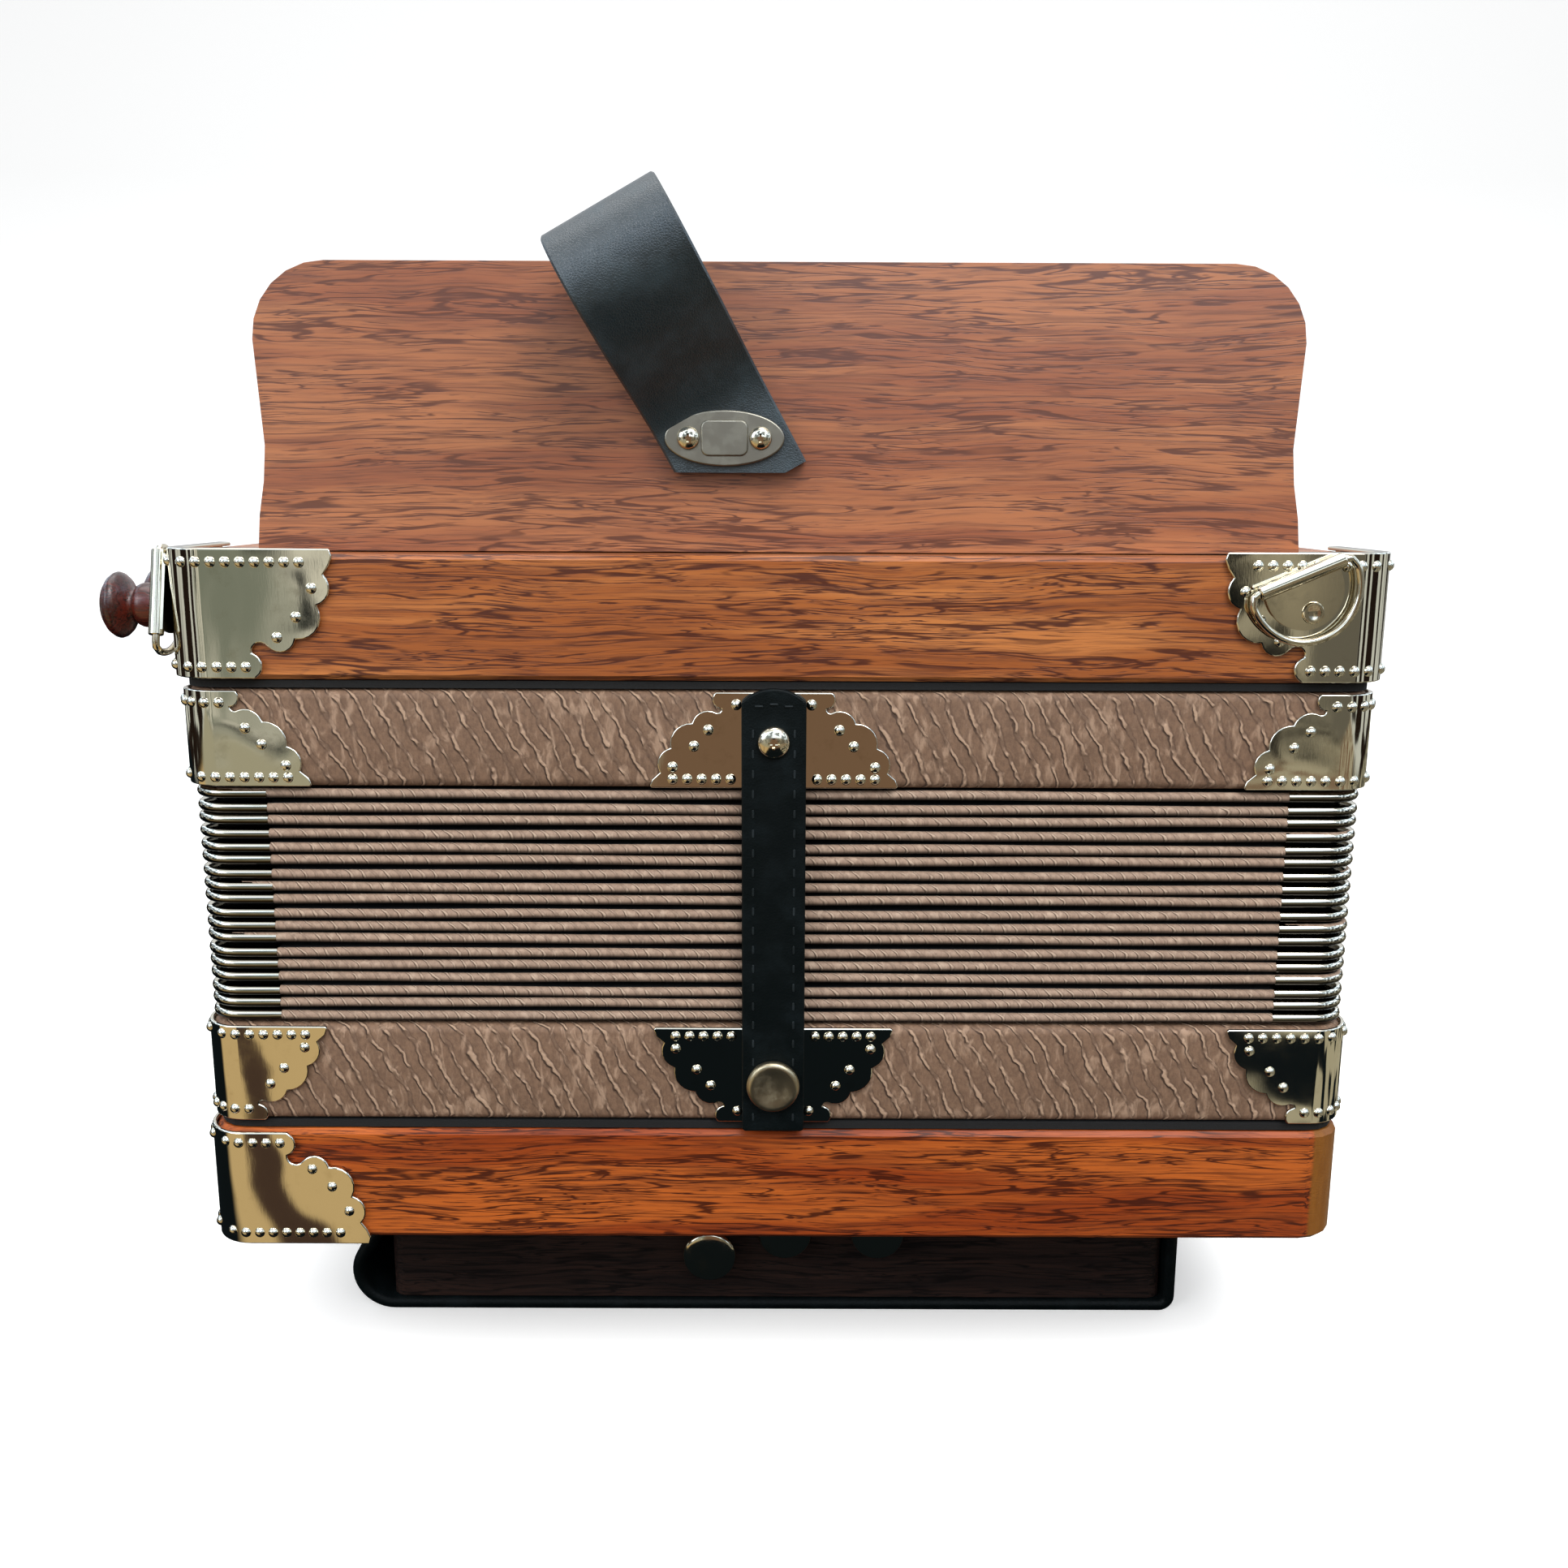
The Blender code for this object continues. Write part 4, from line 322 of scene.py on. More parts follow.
def felt(name, colour, fluff):
    made, tree, shader = material(name, Roughness=0.9)
    fuzz = noise(tree, spaced(tree, 0.4, 0.4, 0.4), 4.0, 0.7)
    tree.links.new(mix(tree, fuzz, linear(colour), linear(fluff)), shader.inputs["Base Color"])
    tree.links.new(bump(tree, fuzz, 0.1 * MM), shader.inputs["Normal"])
    return made


def pearl(name, colour, shade):
    made, tree, shader = material(name, Roughness=0.18, Coat_Weight=0.6, Coat_Roughness=0.08)
    swirl = noise(tree, spaced(tree, 5, 5, 5), 3.0, 0.5, 2.0)
    tone = mix(tree, ramp(tree, swirl, 0.35, 0.65), linear(colour), linear(shade))
    tree.links.new(tone, shader.inputs["Base Color"])
    return made


# Varnished orange-brown laminate of the treble half
CASE_WOOD = wood("varnished_orange_laminate", "#BE753C", "#985324", "#431A0E", 0.38, 0.3, 0.3)
# The same laminate on the fingerboard, a little greyer
BOARD_WOOD = wood("varnished_fingerboard_laminate", "#AE6E46", "#955637", "#5A3122", 0.36, 0.9, 0.35)
# Redder laminate of the bass case, with one bare wooden corner
BASS_WOOD = wood("varnished_red_laminate", "#B65C22", "#903C12", "#3C1407", 0.42, 0.1, 0.2,
                 ("#8E5A20", "#6B3F16"))
# Nearly black wood of the bass box: its own dark tone, deepened by painted shade because the box sits back in
# shadow
DARK_WOOD = wood("dark_stained_wood", "#2E1D17", "#1F1310", "#0C0605", 0.55, 0.0, 0.2)
# Dark red-brown turned wood of the stop knobs
KNOB_WOOD = wood("turned_dark_wood", "#5C2016", "#3C130D", "#1A0605", 0.22, 0.4, 0.4)
# Unvarnished spruce of the reed blocks
SPRUCE = wood("spruce", "#D2AC78", "#C09660", "#98703F", 0.6, 0.0)
# Taupe embossed leatherette on the bellows frames
TAUPE = leatherette("taupe_leatherette", "#7C604B", "#B3957C", "#3C2A20", 4.6, 1.3, 0.4 * MM)
# The same covering drawn tight over the folds, with painted shade that darkens the downward-facing undersides
# of the ribs
FOLD_CLOTH = leatherette("fold_leatherette", "#9C8370", "#BAA28D", "#5A4638", 3.0, 1.3, 0.2 * MM,
                         "#1E1814")
# Black lining cloth deep in the folds
FOLD_LINING = felt("black_fold_lining", "#050505", "#0C0C0D")
# Black felt seals beside the cases
SEAL_FELT = felt("black_gasket_felt", "#060606", "#100F0E")
# Bright nickel plate of the trim
NICKEL = metal("bright_nickel_plate", "#DAD5C6", "#B8AF98", 0.05, 0.24 * MM)
# Nickel of the caps on the folds, with painted shade darkening their downward-facing sides
CAP_NICKEL = metal("fold_cap_nickel", "#D2CDBE", "#A89F88", 0.08, 0.05 * MM, "#241F1A")
# Flatter nickel of screws, rings, brackets and beads
NICKEL_PARTS = metal("nickel_hardware", "#D6CDB8", "#A89C82", 0.12, 0.05 * MM)
# Worn, yellowed nickel of the snap caps
WORN_NICKEL = metal("worn_snap_nickel", "#B5A88C", "#7E7258", 0.36, 0.05 * MM)
# Dull grey tin of the thumb strap's plate
TIN = metal("dull_tin", "#8E8A7E", "#6A665C", 0.42, 0.10 * MM)
# Dull steel of the levers and the axle
STEEL = metal("dull_steel", "#B9B8B4", "#8F8B84", 0.3, 0.05 * MM)
# Black strap leather
STRAP_LEATHER = leather("black_strap_leather", "#040A0B", "#0B1315", 0.46, 0.7, 0.12)
# Bluish black leather of the thumb strap
THUMB_LEATHER = leather("blue_black_thumb_leather", "#16242A", "#213239", 0.38, 0.6, 0.9)
# Waxed black thread
THREAD = leather("waxed_black_thread", "#10181A", "#283034", 0.5, 0.3)
# Creamy pearl of the key buttons
PEARL = pearl("creamy_pearl", "#E9E4D6", "#CFC7B4")
# Pale pallet leather
PALLET_LEATHER = leather("pale_pallet_leather", "#C9B08C", "#A88F6C", 0.8, 0.5)


# Mesh helpers

def body_of(node):
    return frame["nodes"][node]["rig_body"]


def to_object(name, bm, *materials, sharp=35):
    """A new object from a mesh, smooth except over edges sharper than the given angle."""
    bmesh.ops.recalc_face_normals(bm, faces=bm.faces[:])
    mesh = bpy.data.meshes.new(name)
    bm.to_mesh(mesh)
    bm.free()
    mesh.shade_smooth()
    mesh.set_sharp_from_angle(angle=math.radians(sharp))
    for each in materials:
        mesh.materials.append(each)
    obj = bpy.data.objects.new(name, mesh)
    bpy.context.scene.collection.objects.link(obj)
    return obj


def settle(obj):
    """Replace an object's mesh by its evaluated one and drop the modifiers."""
    graph = bpy.context.evaluated_depsgraph_get()
    mesh = bpy.data.meshes.new_from_object(obj.evaluated_get(graph))
    obj.modifiers.clear()
    obj.data = mesh
    mesh.name = obj.name
    return obj


def bevelled(obj, width, segments=2, angle=40):
    """Ease the edges that turn by more than the angle."""
    edge = obj.modifiers.new("edge", "BEVEL")
    edge.limit_method = "ANGLE"
    edge.angle_limit = math.radians(angle)
    edge.width = width
    edge.segments = segments
    even = obj.modifiers.new("even", "WEIGHTED_NORMAL")
    even.keep_sharp = True
    return settle(obj)


def cut(obj, *tools):
    for tool in tools:
        modifier = obj.modifiers.new("cut", "BOOLEAN")
        modifier.operation = "DIFFERENCE"
        modifier.solver = "EXACT"
        modifier.object = tool
    settle(obj)
    for tool in tools:
        bpy.data.objects.remove(tool, do_unlink=True)
    return obj


def place(obj, body, slot, *nodes):
    """Let a piece move with its body, in place of the CAD nodes named."""
    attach(obj, body)
    if nodes:
        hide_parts(*nodes)
    return obj


def merge(bm, other, matrix=Matrix.Identity(4), index=None):
    """Add one mesh to another, moved by the matrix, with an optional material number."""
    if index is not None:
        for face in other.faces:
            face.material_index = index
    other.transform(matrix)
    scratch = bpy.data.meshes.new("scratch")
    other.to_mesh(scratch)
    other.free()
    bm.from_mesh(scratch)
    bpy.data.meshes.remove(scratch)
    return bm


def block(size, centre):
    bm = bmesh.new()
    bmesh.ops.create_cube(bm, size=1.0, matrix=Matrix.LocRotScale(Vector(centre), None, Vector(size)))
    return bm


def lathe(profile, steps=48):
    """A solid of revolution round Z from an axis-to-axis profile of (radius, height)."""
    bm = bmesh.new()
    turns = [2 * math.pi * i / steps for i in range(steps)]
    rows = []
    for radius, height in profile:
        ring = turns if radius > 1e-7 else [0.0]
        rows.append([bm.verts.new((radius * math.cos(a), radius * math.sin(a), height)) for a in ring])
    for low, high in zip(rows, rows[1:]):
        for i in range(steps):
            j = (i + 1) % steps
            ring = [low[i % len(low)], low[j % len(low)], high[j % len(high)], high[i % len(high)]]
            ring = [v for k, v in enumerate(ring) if v not in ring[:k]]
            if len(ring) > 2:
                bm.faces.new(ring)
    return bm


def meshed(curve):
    """The mesh that a curve makes, with the curve removed."""
    obj = bpy.data.objects.new(curve.name, curve)
    bpy.context.scene.collection.objects.link(obj)
    graph = bpy.context.evaluated_depsgraph_get()
    mesh = bpy.data.meshes.new_from_object(obj.evaluated_get(graph))
    bm = bmesh.new()
    bm.from_mesh(mesh)
    bpy.data.meshes.remove(mesh)
    bpy.data.objects.remove(obj, do_unlink=True)
    return bm


def slab(outline, thickness):
    """A flat sheet of the given thickness, drawn as a closed outline in XY and centred on Z = 0."""
    curve = bpy.data.curves.new("outline", "CURVE")
    curve.dimensions = "2D"
    curve.fill_mode = "BOTH"
    curve.extrude = thickness / 2
    spline = curve.splines.new("POLY")
    spline.points.add(len(outline) - 1)
    for point, (x, y) in zip(spline.points, outline):
        point.co = (x, y, 0, 1)
    spline.use_cyclic_u = True
    bm = meshed(curve)
    bmesh.ops.remove_doubles(bm, verts=bm.verts[:], dist=1e-7)
    bmesh.ops.dissolve_limit(bm, angle_limit=math.radians(0.5), verts=bm.verts[:], edges=bm.edges[:])
    bmesh.ops.recalc_face_normals(bm, faces=bm.faces[:])
    return bm


def wire(points, radius, resolution=4):
    """A closed round wire through the points."""
    curve = bpy.data.curves.new("wire", "CURVE")
    curve.dimensions = "3D"
    curve.bevel_depth = radius
    curve.bevel_resolution = resolution
    spline = curve.splines.new("POLY")
    spline.points.add(len(points) - 1)
    for point, at in zip(spline.points, points):
        point.co = (*at, 1)
    spline.use_cyclic_u = True
    return meshed(curve)


def axes_of(along, across, out):
    """The turn that takes X, Y and Z to the three given directions."""
    return Matrix((along, across, out)).transposed().to_4x4()


def strip(bm, rows):
    """Close each row of points into a ring and join it to the next, with both ends capped."""
    for low, high in zip(rows, rows[1:]):
        for i in range(len(low)):
            j = (i + 1) % len(low)
            bm.faces.new((low[i], low[j], high[j], high[i]))
    bm.faces.new(rows[0])
    bm.faces.new(rows[-1][::-1])
    return bm


def slice_at(bm, place, direction):
    geometry = bm.verts[:] + bm.edges[:] + bm.faces[:]
    bmesh.ops.bisect_plane(bm, geom=geometry, plane_co=place, plane_no=direction, dist=1e-7)


def quarter(centre, radius, start, end, steps):
    angles = [math.radians(start + (end - start) * i / steps) for i in range(steps + 1)]
    return [(centre[0] + radius * math.cos(a), centre[1] + radius * math.sin(a)) for a in angles]


def arc(a, b, bulge, steps=7):
    """Points after a up to b on a circular arc that stands bulge to the right of the way from a to b."""
    a, b = Vector(a), Vector(b)
    chord = b - a
    side = Vector((chord.y, -chord.x)).normalized()
    radius = (chord.length ** 2 / 4 + bulge ** 2) / (2 * bulge)
    centre = (a + b) / 2 + side * (bulge - radius)
    first = math.atan2(*(a - centre).yx)
    turn = math.atan2(*(b - centre).yx) - first
    turn = (turn + math.pi) % (2 * math.pi) - math.pi
    if abs(bulge) > chord.length / 2:
        turn -= math.copysign(2 * math.pi, turn)
    return [
        (centre.x + abs(radius) * math.cos(first + turn * i / steps),
         centre.y + abs(radius) * math.sin(first + turn * i / steps))
        for i in range(1, steps + 1)
    ]


def copied(node, keep=None, flat=0.6):
    """A free copy of a CAD node's mesh with its split points joined and its flat faces whole again."""
    bm = bmesh.new()
    bm.from_mesh(frame["nodes"][node].data)
    bmesh.ops.remove_doubles(bm, verts=bm.verts[:], dist=2e-6)
    if keep:
        gone = [f for f in bm.faces if not keep(f.calc_center_median())]
        bmesh.ops.delete(bm, geom=gone, context="FACES")
    bmesh.ops.dissolve_limit(bm, angle_limit=math.radians(flat), verts=bm.verts[:], edges=bm.edges[:])
    for face in bm.faces:
        face.material_index = 0
    return bm


# Geometry Nodes: one tree puts a small mesh on every point, turned by the point's own attribute

def scatter_tree():
    """The node tree, with named inputs for the points, the piece and its finish."""
    tree = bpy.data.node_groups.new("set_on_points", "GeometryNodeTree")
    tree.interface.new_socket("Points", in_out="INPUT", socket_type="NodeSocketGeometry")
    tree.interface.new_socket("Piece", in_out="INPUT", socket_type="NodeSocketObject")
    tree.interface.new_socket("Finish", in_out="INPUT", socket_type="NodeSocketMaterial")
    tree.interface.new_socket("Result", in_out="OUTPUT", socket_type="NodeSocketGeometry")
    start = add(tree, "NodeGroupInput")
    info = add(tree, "GeometryNodeObjectInfo", {0: start.outputs["Piece"]}, transform_space="ORIGINAL")
    turn = add(tree, "GeometryNodeInputNamedAttribute", {"Name": "turn"}, data_type="FLOAT_VECTOR")
    euler = add(tree, "FunctionNodeEulerToRotation", {0: turn.outputs[0]})
    many = add(tree, "GeometryNodeInstanceOnPoints", {
        "Points": start.outputs["Points"], "Instance": info.outputs["Geometry"], "Rotation": euler.outputs[0],
    })
    real = add(tree, "GeometryNodeRealizeInstances", {0: many.outputs[0]})
    done = add(tree, "GeometryNodeSetMaterial", {
        "Geometry": real.outputs[0], "Material": start.outputs["Finish"],
    })
    end = add(tree, "NodeGroupOutput")
    tree.links.new(done.outputs[0], end.inputs[0])
    return tree


SCATTER = scatter_tree()


def scattered(name, piece, finish, places):
    """places is a list of (point, Euler turn). The piece is a mesh drawn at the origin."""
    mesh = bpy.data.meshes.new(name)
    mesh.from_pydata([tuple(point) for point, turn in places], [], [])
    turns = mesh.attributes.new("turn", "FLOAT_VECTOR", "POINT")
    turns.data.foreach_set("vector", np.array([list(turn) for point, turn in places], np.float32).ravel())
    obj = bpy.data.objects.new(name, mesh)
    bpy.context.scene.collection.objects.link(obj)
    source = to_object(name + "_piece", piece)
    modifier = obj.modifiers.new("set", "NODES")
    modifier.node_group = SCATTER
    sockets = {item.name: item.identifier for item in SCATTER.interface.items_tree}
    modifier[sockets["Piece"]] = source
    modifier[sockets["Finish"]] = finish
    settle(obj)
    obj.data.shade_smooth()
    obj.data.set_sharp_from_angle(angle=math.radians(40))
    bpy.data.objects.remove(source, do_unlink=True)
    return obj


# Rings that follow the rounded plan

def plan_ring(half_x, half_y, corner, inset, corner_steps=8, step=None):
    """Points round the plan drawn in by the inset, with the straights split when a step is given."""
    radius = max(corner - inset, 0.8 * MM)
    rx, ry = half_x - inset - radius, half_y - inset - radius
    nx = max(int(2 * half_x / step), 1) if step else 1
    ny = max(int(2 * half_y / step), 1) if step else 1
    points = []
    for turn, (sx, sy) in enumerate(((1, 1), (-1, 1), (-1, -1), (1, -1))):
        for i in range(corner_steps + 1):
            angle = math.pi / 2 * (turn + i / corner_steps)
            points.append((sx * rx + radius * math.cos(angle), sy * ry + radius * math.sin(angle)))
        nxt = ((-1, 1), (-1, -1), (1, -1), (1, 1))[turn]
        count = nx if turn % 2 == 0 else ny
        angle = math.pi / 2 * (turn + 1)
        a = Vector((sx * rx, sy * ry)) + radius * Vector((math.cos(angle), math.sin(angle)))
        b = Vector((nxt[0] * rx, nxt[1] * ry)) + radius * Vector((math.cos(angle), math.sin(angle)))
        points += [tuple(a.lerp(b, k / count)) for k in range(1, count)]
    return points


def swept(half_x, half_y, corner, section, step=None, wander=None):
    """A ring round the plan whose closed section is a row of (inset, height)."""
    bm = bmesh.new()
    rows = []
    for inset, level in section:
        row = plan_ring(half_x, half_y, corner, inset, step=step)
        rows.append([bm.verts.new((x, y, level + (wander(x, y, level) if wander else 0))) for x, y in row])
    rows.append(rows[0])
    count = len(rows[0])
    for number, (low, high) in enumerate(zip(rows, rows[1:])):
        for i in range(count):
            j = (i + 1) % count
            face = bm.faces.new((low[i], low[j], high[j], high[i]))
            face.material_index = number
    return bm


# Scalloped trim plates. u is the distance from the case end, v the distance from the long edge.

# A kind holds the cusps between the lobes, how far each lobe bulges, and the beads on the lobes. Then come
# the long row's distance from its edge, its pitch and its end, and the short row's distance and places.
CASE_KIND = (
    ((-0.11, 0.16), (-0.20, 0.405), (-0.455, 0.68), (-0.765, 0.735), (-0.935, 0.79), (-0.90, 0.985)),
    (2.2, 3.1, 2.3, -1.6, 1.9), ((-0.245, 0.27), (-0.43, 0.50), (-0.65, 0.665)),
    (1.9, 3.5, 8.0), (2.8, (22.2, 25.7, 29.2, 32.7, 36.2)),
)
FRAME_KIND = (
    ((-0.165, 0.16), (-0.33, 0.42), (-0.66, 0.68), (-1.03, 0.79), (-1.11, 0.83), (-1.0, 0.985)),
    (1.7, 2.0, 1.6, -0.4, 1.2), ((-0.36, 0.22), (-0.69, 0.44), (-0.91, 0.61)),
    (2.2, 3.55, 5.75), (3.0, (21.4, 24.9, 28.4)),
)
BEAD_RADIUS, BEAD_SINK = 1.42 * MM, 0.4 * MM
PLATE_EDGE = 0.32 * MM
CORNERS = {"rear_left": (-1, -1), "rear_right": (1, -1), "front_left": (-1, 1), "front_right": (1, 1)}
BODY_OF_HALF = {"treble": "treble_half", "bass": "root"}


def plate_outline(kind, reach, foot, height, flip, lip=0.0):
    """One plate laid flat. Its long edge is straight and its ends are scalloped."""
    cusps, bulges = kind[:2]
    deep = reach - foot
    at = [(reach + u * deep, v * height) for u, v in cusps]
    half = [(reach - lip, -lip)] if lip else []
    half += [(reach - 0.6 * MM, 0.0), (reach - 0.1 * MM, 0.5 * MM)]
    half += [(reach - 0.045 * deep, 0.09 * height), at[0]]
    for a, b, bulge in zip(at, at[1:], bulges):
        half += arc(a, b, bulge * MM)
    half.append((at[-1][0] - 0.5 * MM, height))
    outline = half + [(-u, v) for u, v in reversed(half)]
    if not flip:
        outline = [(u, height - v) for u, v in reversed(outline)]
    return outline


def bead_places(kind, reach, foot, height, flip):
    """Where the beads of one plate stand, on the plate laid flat."""
    lobes, (edge, pitch, stop), (short_edge, short) = kind[2:]
    deep = reach - foot
    found = []
    for way in (-1, 1):
        u = reach - stop * MM
        while u > 0:
            found.append((way * u, edge * MM))
            u -= pitch * MM
        found += [(way * (reach + u * deep), v * height) for u, v in lobes]
        found += [(way * (reach - u * MM), height - short_edge * MM) for u in short if reach > (u + 1) * MM]
    return [(u, v if flip else height - v) for u, v in found]


def bender(side, width, depth, corner, base, fold=None):
    """A function from flat plate places (along, up, out) to the case corner named by side."""
    bend = corner * math.pi / 2
    centre = Vector((side[0] * (width / 2 - corner), side[1] * (depth / 2 - corner)))

    def mapped(s, height, out):
        rise = height
        if fold:
            level, way = fold
            past = (height - level) * way
            if past > -1e-7:
                rise = level + way * out
                out = out if past < 1e-7 else -past
        if s < -bend / 2:
            plan = centre + Vector((side[0] * (s + bend / 2), side[1] * (corner + out)))
        elif s > bend / 2:
            plan = centre + Vector((side[0] * (corner + out), -side[1] * (s - bend / 2)))
        else:
            angle = math.pi / 4 + math.pi / 2 * s / bend
            turn = Vector((side[0] * math.sin(angle), side[1] * math.cos(angle)))
            plan = centre + turn * (corner + out)
        return Vector((plan.x, plan.y, base + rise))

    return mapped


def bent_plate(bm, mapped, corner, out, fold=None):
    """Wrap a flat plate round a case corner, cut into narrow strips over the bend."""
    bend = corner * math.pi / 2
    for step in range(11):
        slice_at(bm, (bend * (step / 10 - 0.5), 0, 0), (1, 0, 0))
    if fold:
        slice_at(bm, (0, fold[0], 0), (0, 1, 0))
    for vert in bm.verts:
        s, height, thick = vert.co
        vert.co = mapped(s, height, out + thick)
    return bm


def case_plates(beads):
    """Corner plates with a lip over the edge. The rear right corner of the bass case has none."""
    shift = CASE_CORNER * (1 - math.pi / 4)
    reach, foot, tall = CASE_REACH - shift, CASE_FOOT - shift, CASE_PLATE_TALL
    for half, base, flip in (("treble", TREBLE_CASE_BOTTOM + SEAT_GAP, False),
                             ("bass", BASS_CASE_BOTTOM, True)):
        body = BODY_OF_HALF[half]
        fold = (0.0, -1) if flip else (tall, 1)
        for name, side in CORNERS.items():
            if half == "bass" and name == "rear_right":
                continue
            mapped = bender(side, CASE_WIDTH, CASE_DEPTH, CASE_CORNER, base, fold)
            bm = slab(plate_outline(CASE_KIND, reach, foot, tall, flip, PLATE_LIP), PLATE_THICK)
            bent_plate(bm, mapped, CASE_CORNER, SEAT_GAP + PLATE_THICK / 2, fold)
            obj = bevelled(to_object(f"{half}_plate_{name}", bm, NICKEL), PLATE_EDGE)
            place(obj, body, "nickel", f"{half}_corner_{name}")
            for s, v in bead_places(CASE_KIND, reach, foot, tall, flip):
                beads[body].append((mapped(s, v, SEAT_GAP + PLATE_THICK - BEAD_SINK), (0, 0, 0)))


def frame_corner_plates(bm, half, base, tall, flip, beads):
    shift = FRAME_CORNER * (1 - math.pi / 4)
    reach, foot = FRAME_REACH - shift, FRAME_FOOT - shift
    for side in CORNERS.values():
        mapped = bender(side, FRAME_WIDTH, FRAME_DEPTH, FRAME_CORNER, base)
        flat = slab(plate_outline(FRAME_KIND, reach, foot, tall, flip), PLATE_THICK)
        merge(bm, bent_plate(flat, mapped, FRAME_CORNER, PLATE_THICK / 2))
        for s, v in bead_places(FRAME_KIND, reach, foot, tall, flip):
            beads[BODY_OF_HALF[half]].append((mapped(s, v, PLATE_THICK - BEAD_SINK), (0, 0, 0)))


def frame_centre_plates(bm, half, base, tall, flip, beads):
    """One flat plate behind each bellows strap, with beads only where the strap leaves it open."""
    for way in (-1, 1):
        flat = slab(plate_outline(FRAME_KIND, CENTRE_REACH, CENTRE_FOOT, tall, flip), PLATE_THICK)
        face = way * (FRAME_DEPTH / 2 + PLATE_THICK / 2)
        merge(bm, flat, Matrix.Translation((STRAP_X, face, base)) @ TO_XZ)
        out = way * (FRAME_DEPTH / 2 + PLATE_THICK - BEAD_SINK)
        for s, v in bead_places(FRAME_KIND, CENTRE_REACH, CENTRE_FOOT, tall, flip):
            if abs(s) > STRAP_WIDTH / 2 + 0.4 * MM:
                beads[BODY_OF_HALF[half]].append((Vector((STRAP_X + s, out, base + v)), (0, 0, 0)))


def plates():
    beads = {"root": [], "treble_half": []}
    case_plates(beads)
    for half, bottom, top, flip in (("treble", TREBLE_FRAME_BOTTOM, TREBLE_FRAME_TOP, True),
                                    ("bass", BASS_FRAME_BOTTOM, BASS_FRAME_TOP, False)):
        base, tall = bottom + SEAT_GAP, top - bottom - 2 * SEAT_GAP
        bm = bmesh.new()
        frame_corner_plates(bm, half, base, tall, flip, beads)
        frame_centre_plates(bm, half, base, tall, flip, beads)
        obj = bevelled(to_object(f"{half}_frame_plates", bm, NICKEL), PLATE_EDGE)
        place(obj, BODY_OF_HALF[half], "nickel")
    for body, places in beads.items():
        ball = bmesh.new()
        bmesh.ops.create_uvsphere(ball, u_segments=12, v_segments=7, radius=BEAD_RADIUS)
        place(scattered(f"plate_beads_{body}", ball, NICKEL, places), body, "nickel")


def frames():
    """The covered frames, with soft rounded edges."""
    for half, bottom, top in (("treble", TREBLE_FRAME_BOTTOM, TREBLE_FRAME_TOP),
                              ("bass", BASS_FRAME_BOTTOM, BASS_FRAME_TOP)):
        r = 2.4 * MM
        section = quarter((r, bottom + r), r, 270, 180, 5) + quarter((r, top - r), r, 180, 90, 5)
        section += [(FRAME_WALL, top), (FRAME_WALL, bottom)]
        bm = swept(FRAME_WIDTH / 2, FRAME_DEPTH / 2, FRAME_CORNER, section)
        for face in bm.faces:
            face.material_index = 0
        obj = to_object(f"{half}_frame_cover", bm, TAUPE)
        place(obj, body_of(f"{half}_frame"), "taupe_leatherette", f"{half}_frame")


# Bellows

FOLD_BOTTOM, FOLD_TOP = BASS_FRAME_TOP + SEAT_GAP, TREBLE_FRAME_BOTTOM - SEAT_GAP
FOLD_PITCH = (FOLD_TOP - FOLD_BOTTOM) / FOLD_COUNT
RIM_RADIUS, FLANK_INSET = 1.22 * MM, 4.2 * MM
FOLD_STRAY, FOLD_WANDER, CAP_REACH = 0.20 * MM, 0.11 * MM, 11 * MM


def fold_level(fold):
    """The height of a rib: the stack is pressed by hand, so its ribs stray a little from an even pitch."""
    return FOLD_BOTTOM + (fold + 0.5) * FOLD_PITCH + FOLD_STRAY * math.sin(fold * 2.2 + 0.4)


def fold_share(fold):
    """Which share of the draw a rib takes: every rib keeps its shape and the walls between them stretch."""
    return (fold + 0.5) / FOLD_COUNT


def fold_section():
    """The section of the bellows wall as (inset, height), and the share of the draw that each point takes."""
    section, shares = [(FOLD_DEPTH, FOLD_BOTTOM)], [0.0]
    for fold in range(FOLD_COUNT):
        middle = fold_level(fold)
        rim = [(FLANK_INSET, middle - RIM_RADIUS * 0.8)]
        rim += quarter((FOLD_INSET + RIM_RADIUS, middle), RIM_RADIUS, 270, 90, 8)
        rim.append((FLANK_INSET, middle + RIM_RADIUS * 0.8))
        section += rim + [(FOLD_DEPTH, FOLD_BOTTOM + (fold + 1) * FOLD_PITCH)]
        shares += [fold_share(fold)] * len(rim) + [(fold + 1) / FOLD_COUNT]
    section += [(BORE_INSET, FOLD_TOP), (BORE_INSET, FOLD_BOTTOM)]
    return section, shares + [1.0, 0.0]


def fold_wander(x, y, level):
    """How far the cloth over a rib wanders up or down, a slow wave with a shorter one on it."""
    if level < FOLD_BOTTOM + 1e-6 or level > FOLD_TOP - 1e-6:
        return 0.0
    fold = int((level - FOLD_BOTTOM) / FOLD_PITCH + 1e-6)
    run = (x + y) / MM
    return FOLD_WANDER * (math.sin(run / 23 + fold * 1.7) + 0.6 * math.sin(run / 9.5 + fold * 2.9))


def folds():
    section, shares = fold_section()
    bm = swept(FRAME_WIDTH / 2, FRAME_DEPTH / 2, FRAME_CORNER, section, step=9 * MM, wander=fold_wander)
    per_ring = len(bm.verts) // len(section)
    for face in bm.faces:
        number = face.material_index
        inner = max(section[number][0], section[(number + 1) % len(section)][0])
        face.material_index = 0 if inner < FOLD_INSET + RIM_RADIUS + 1e-6 else 1
    obj = to_object("bellows_folds", bm, FOLD_CLOTH, FOLD_LINING, sharp=60)
    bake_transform(obj)
    np.repeat(shares, per_ring)
    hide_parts("bellows")


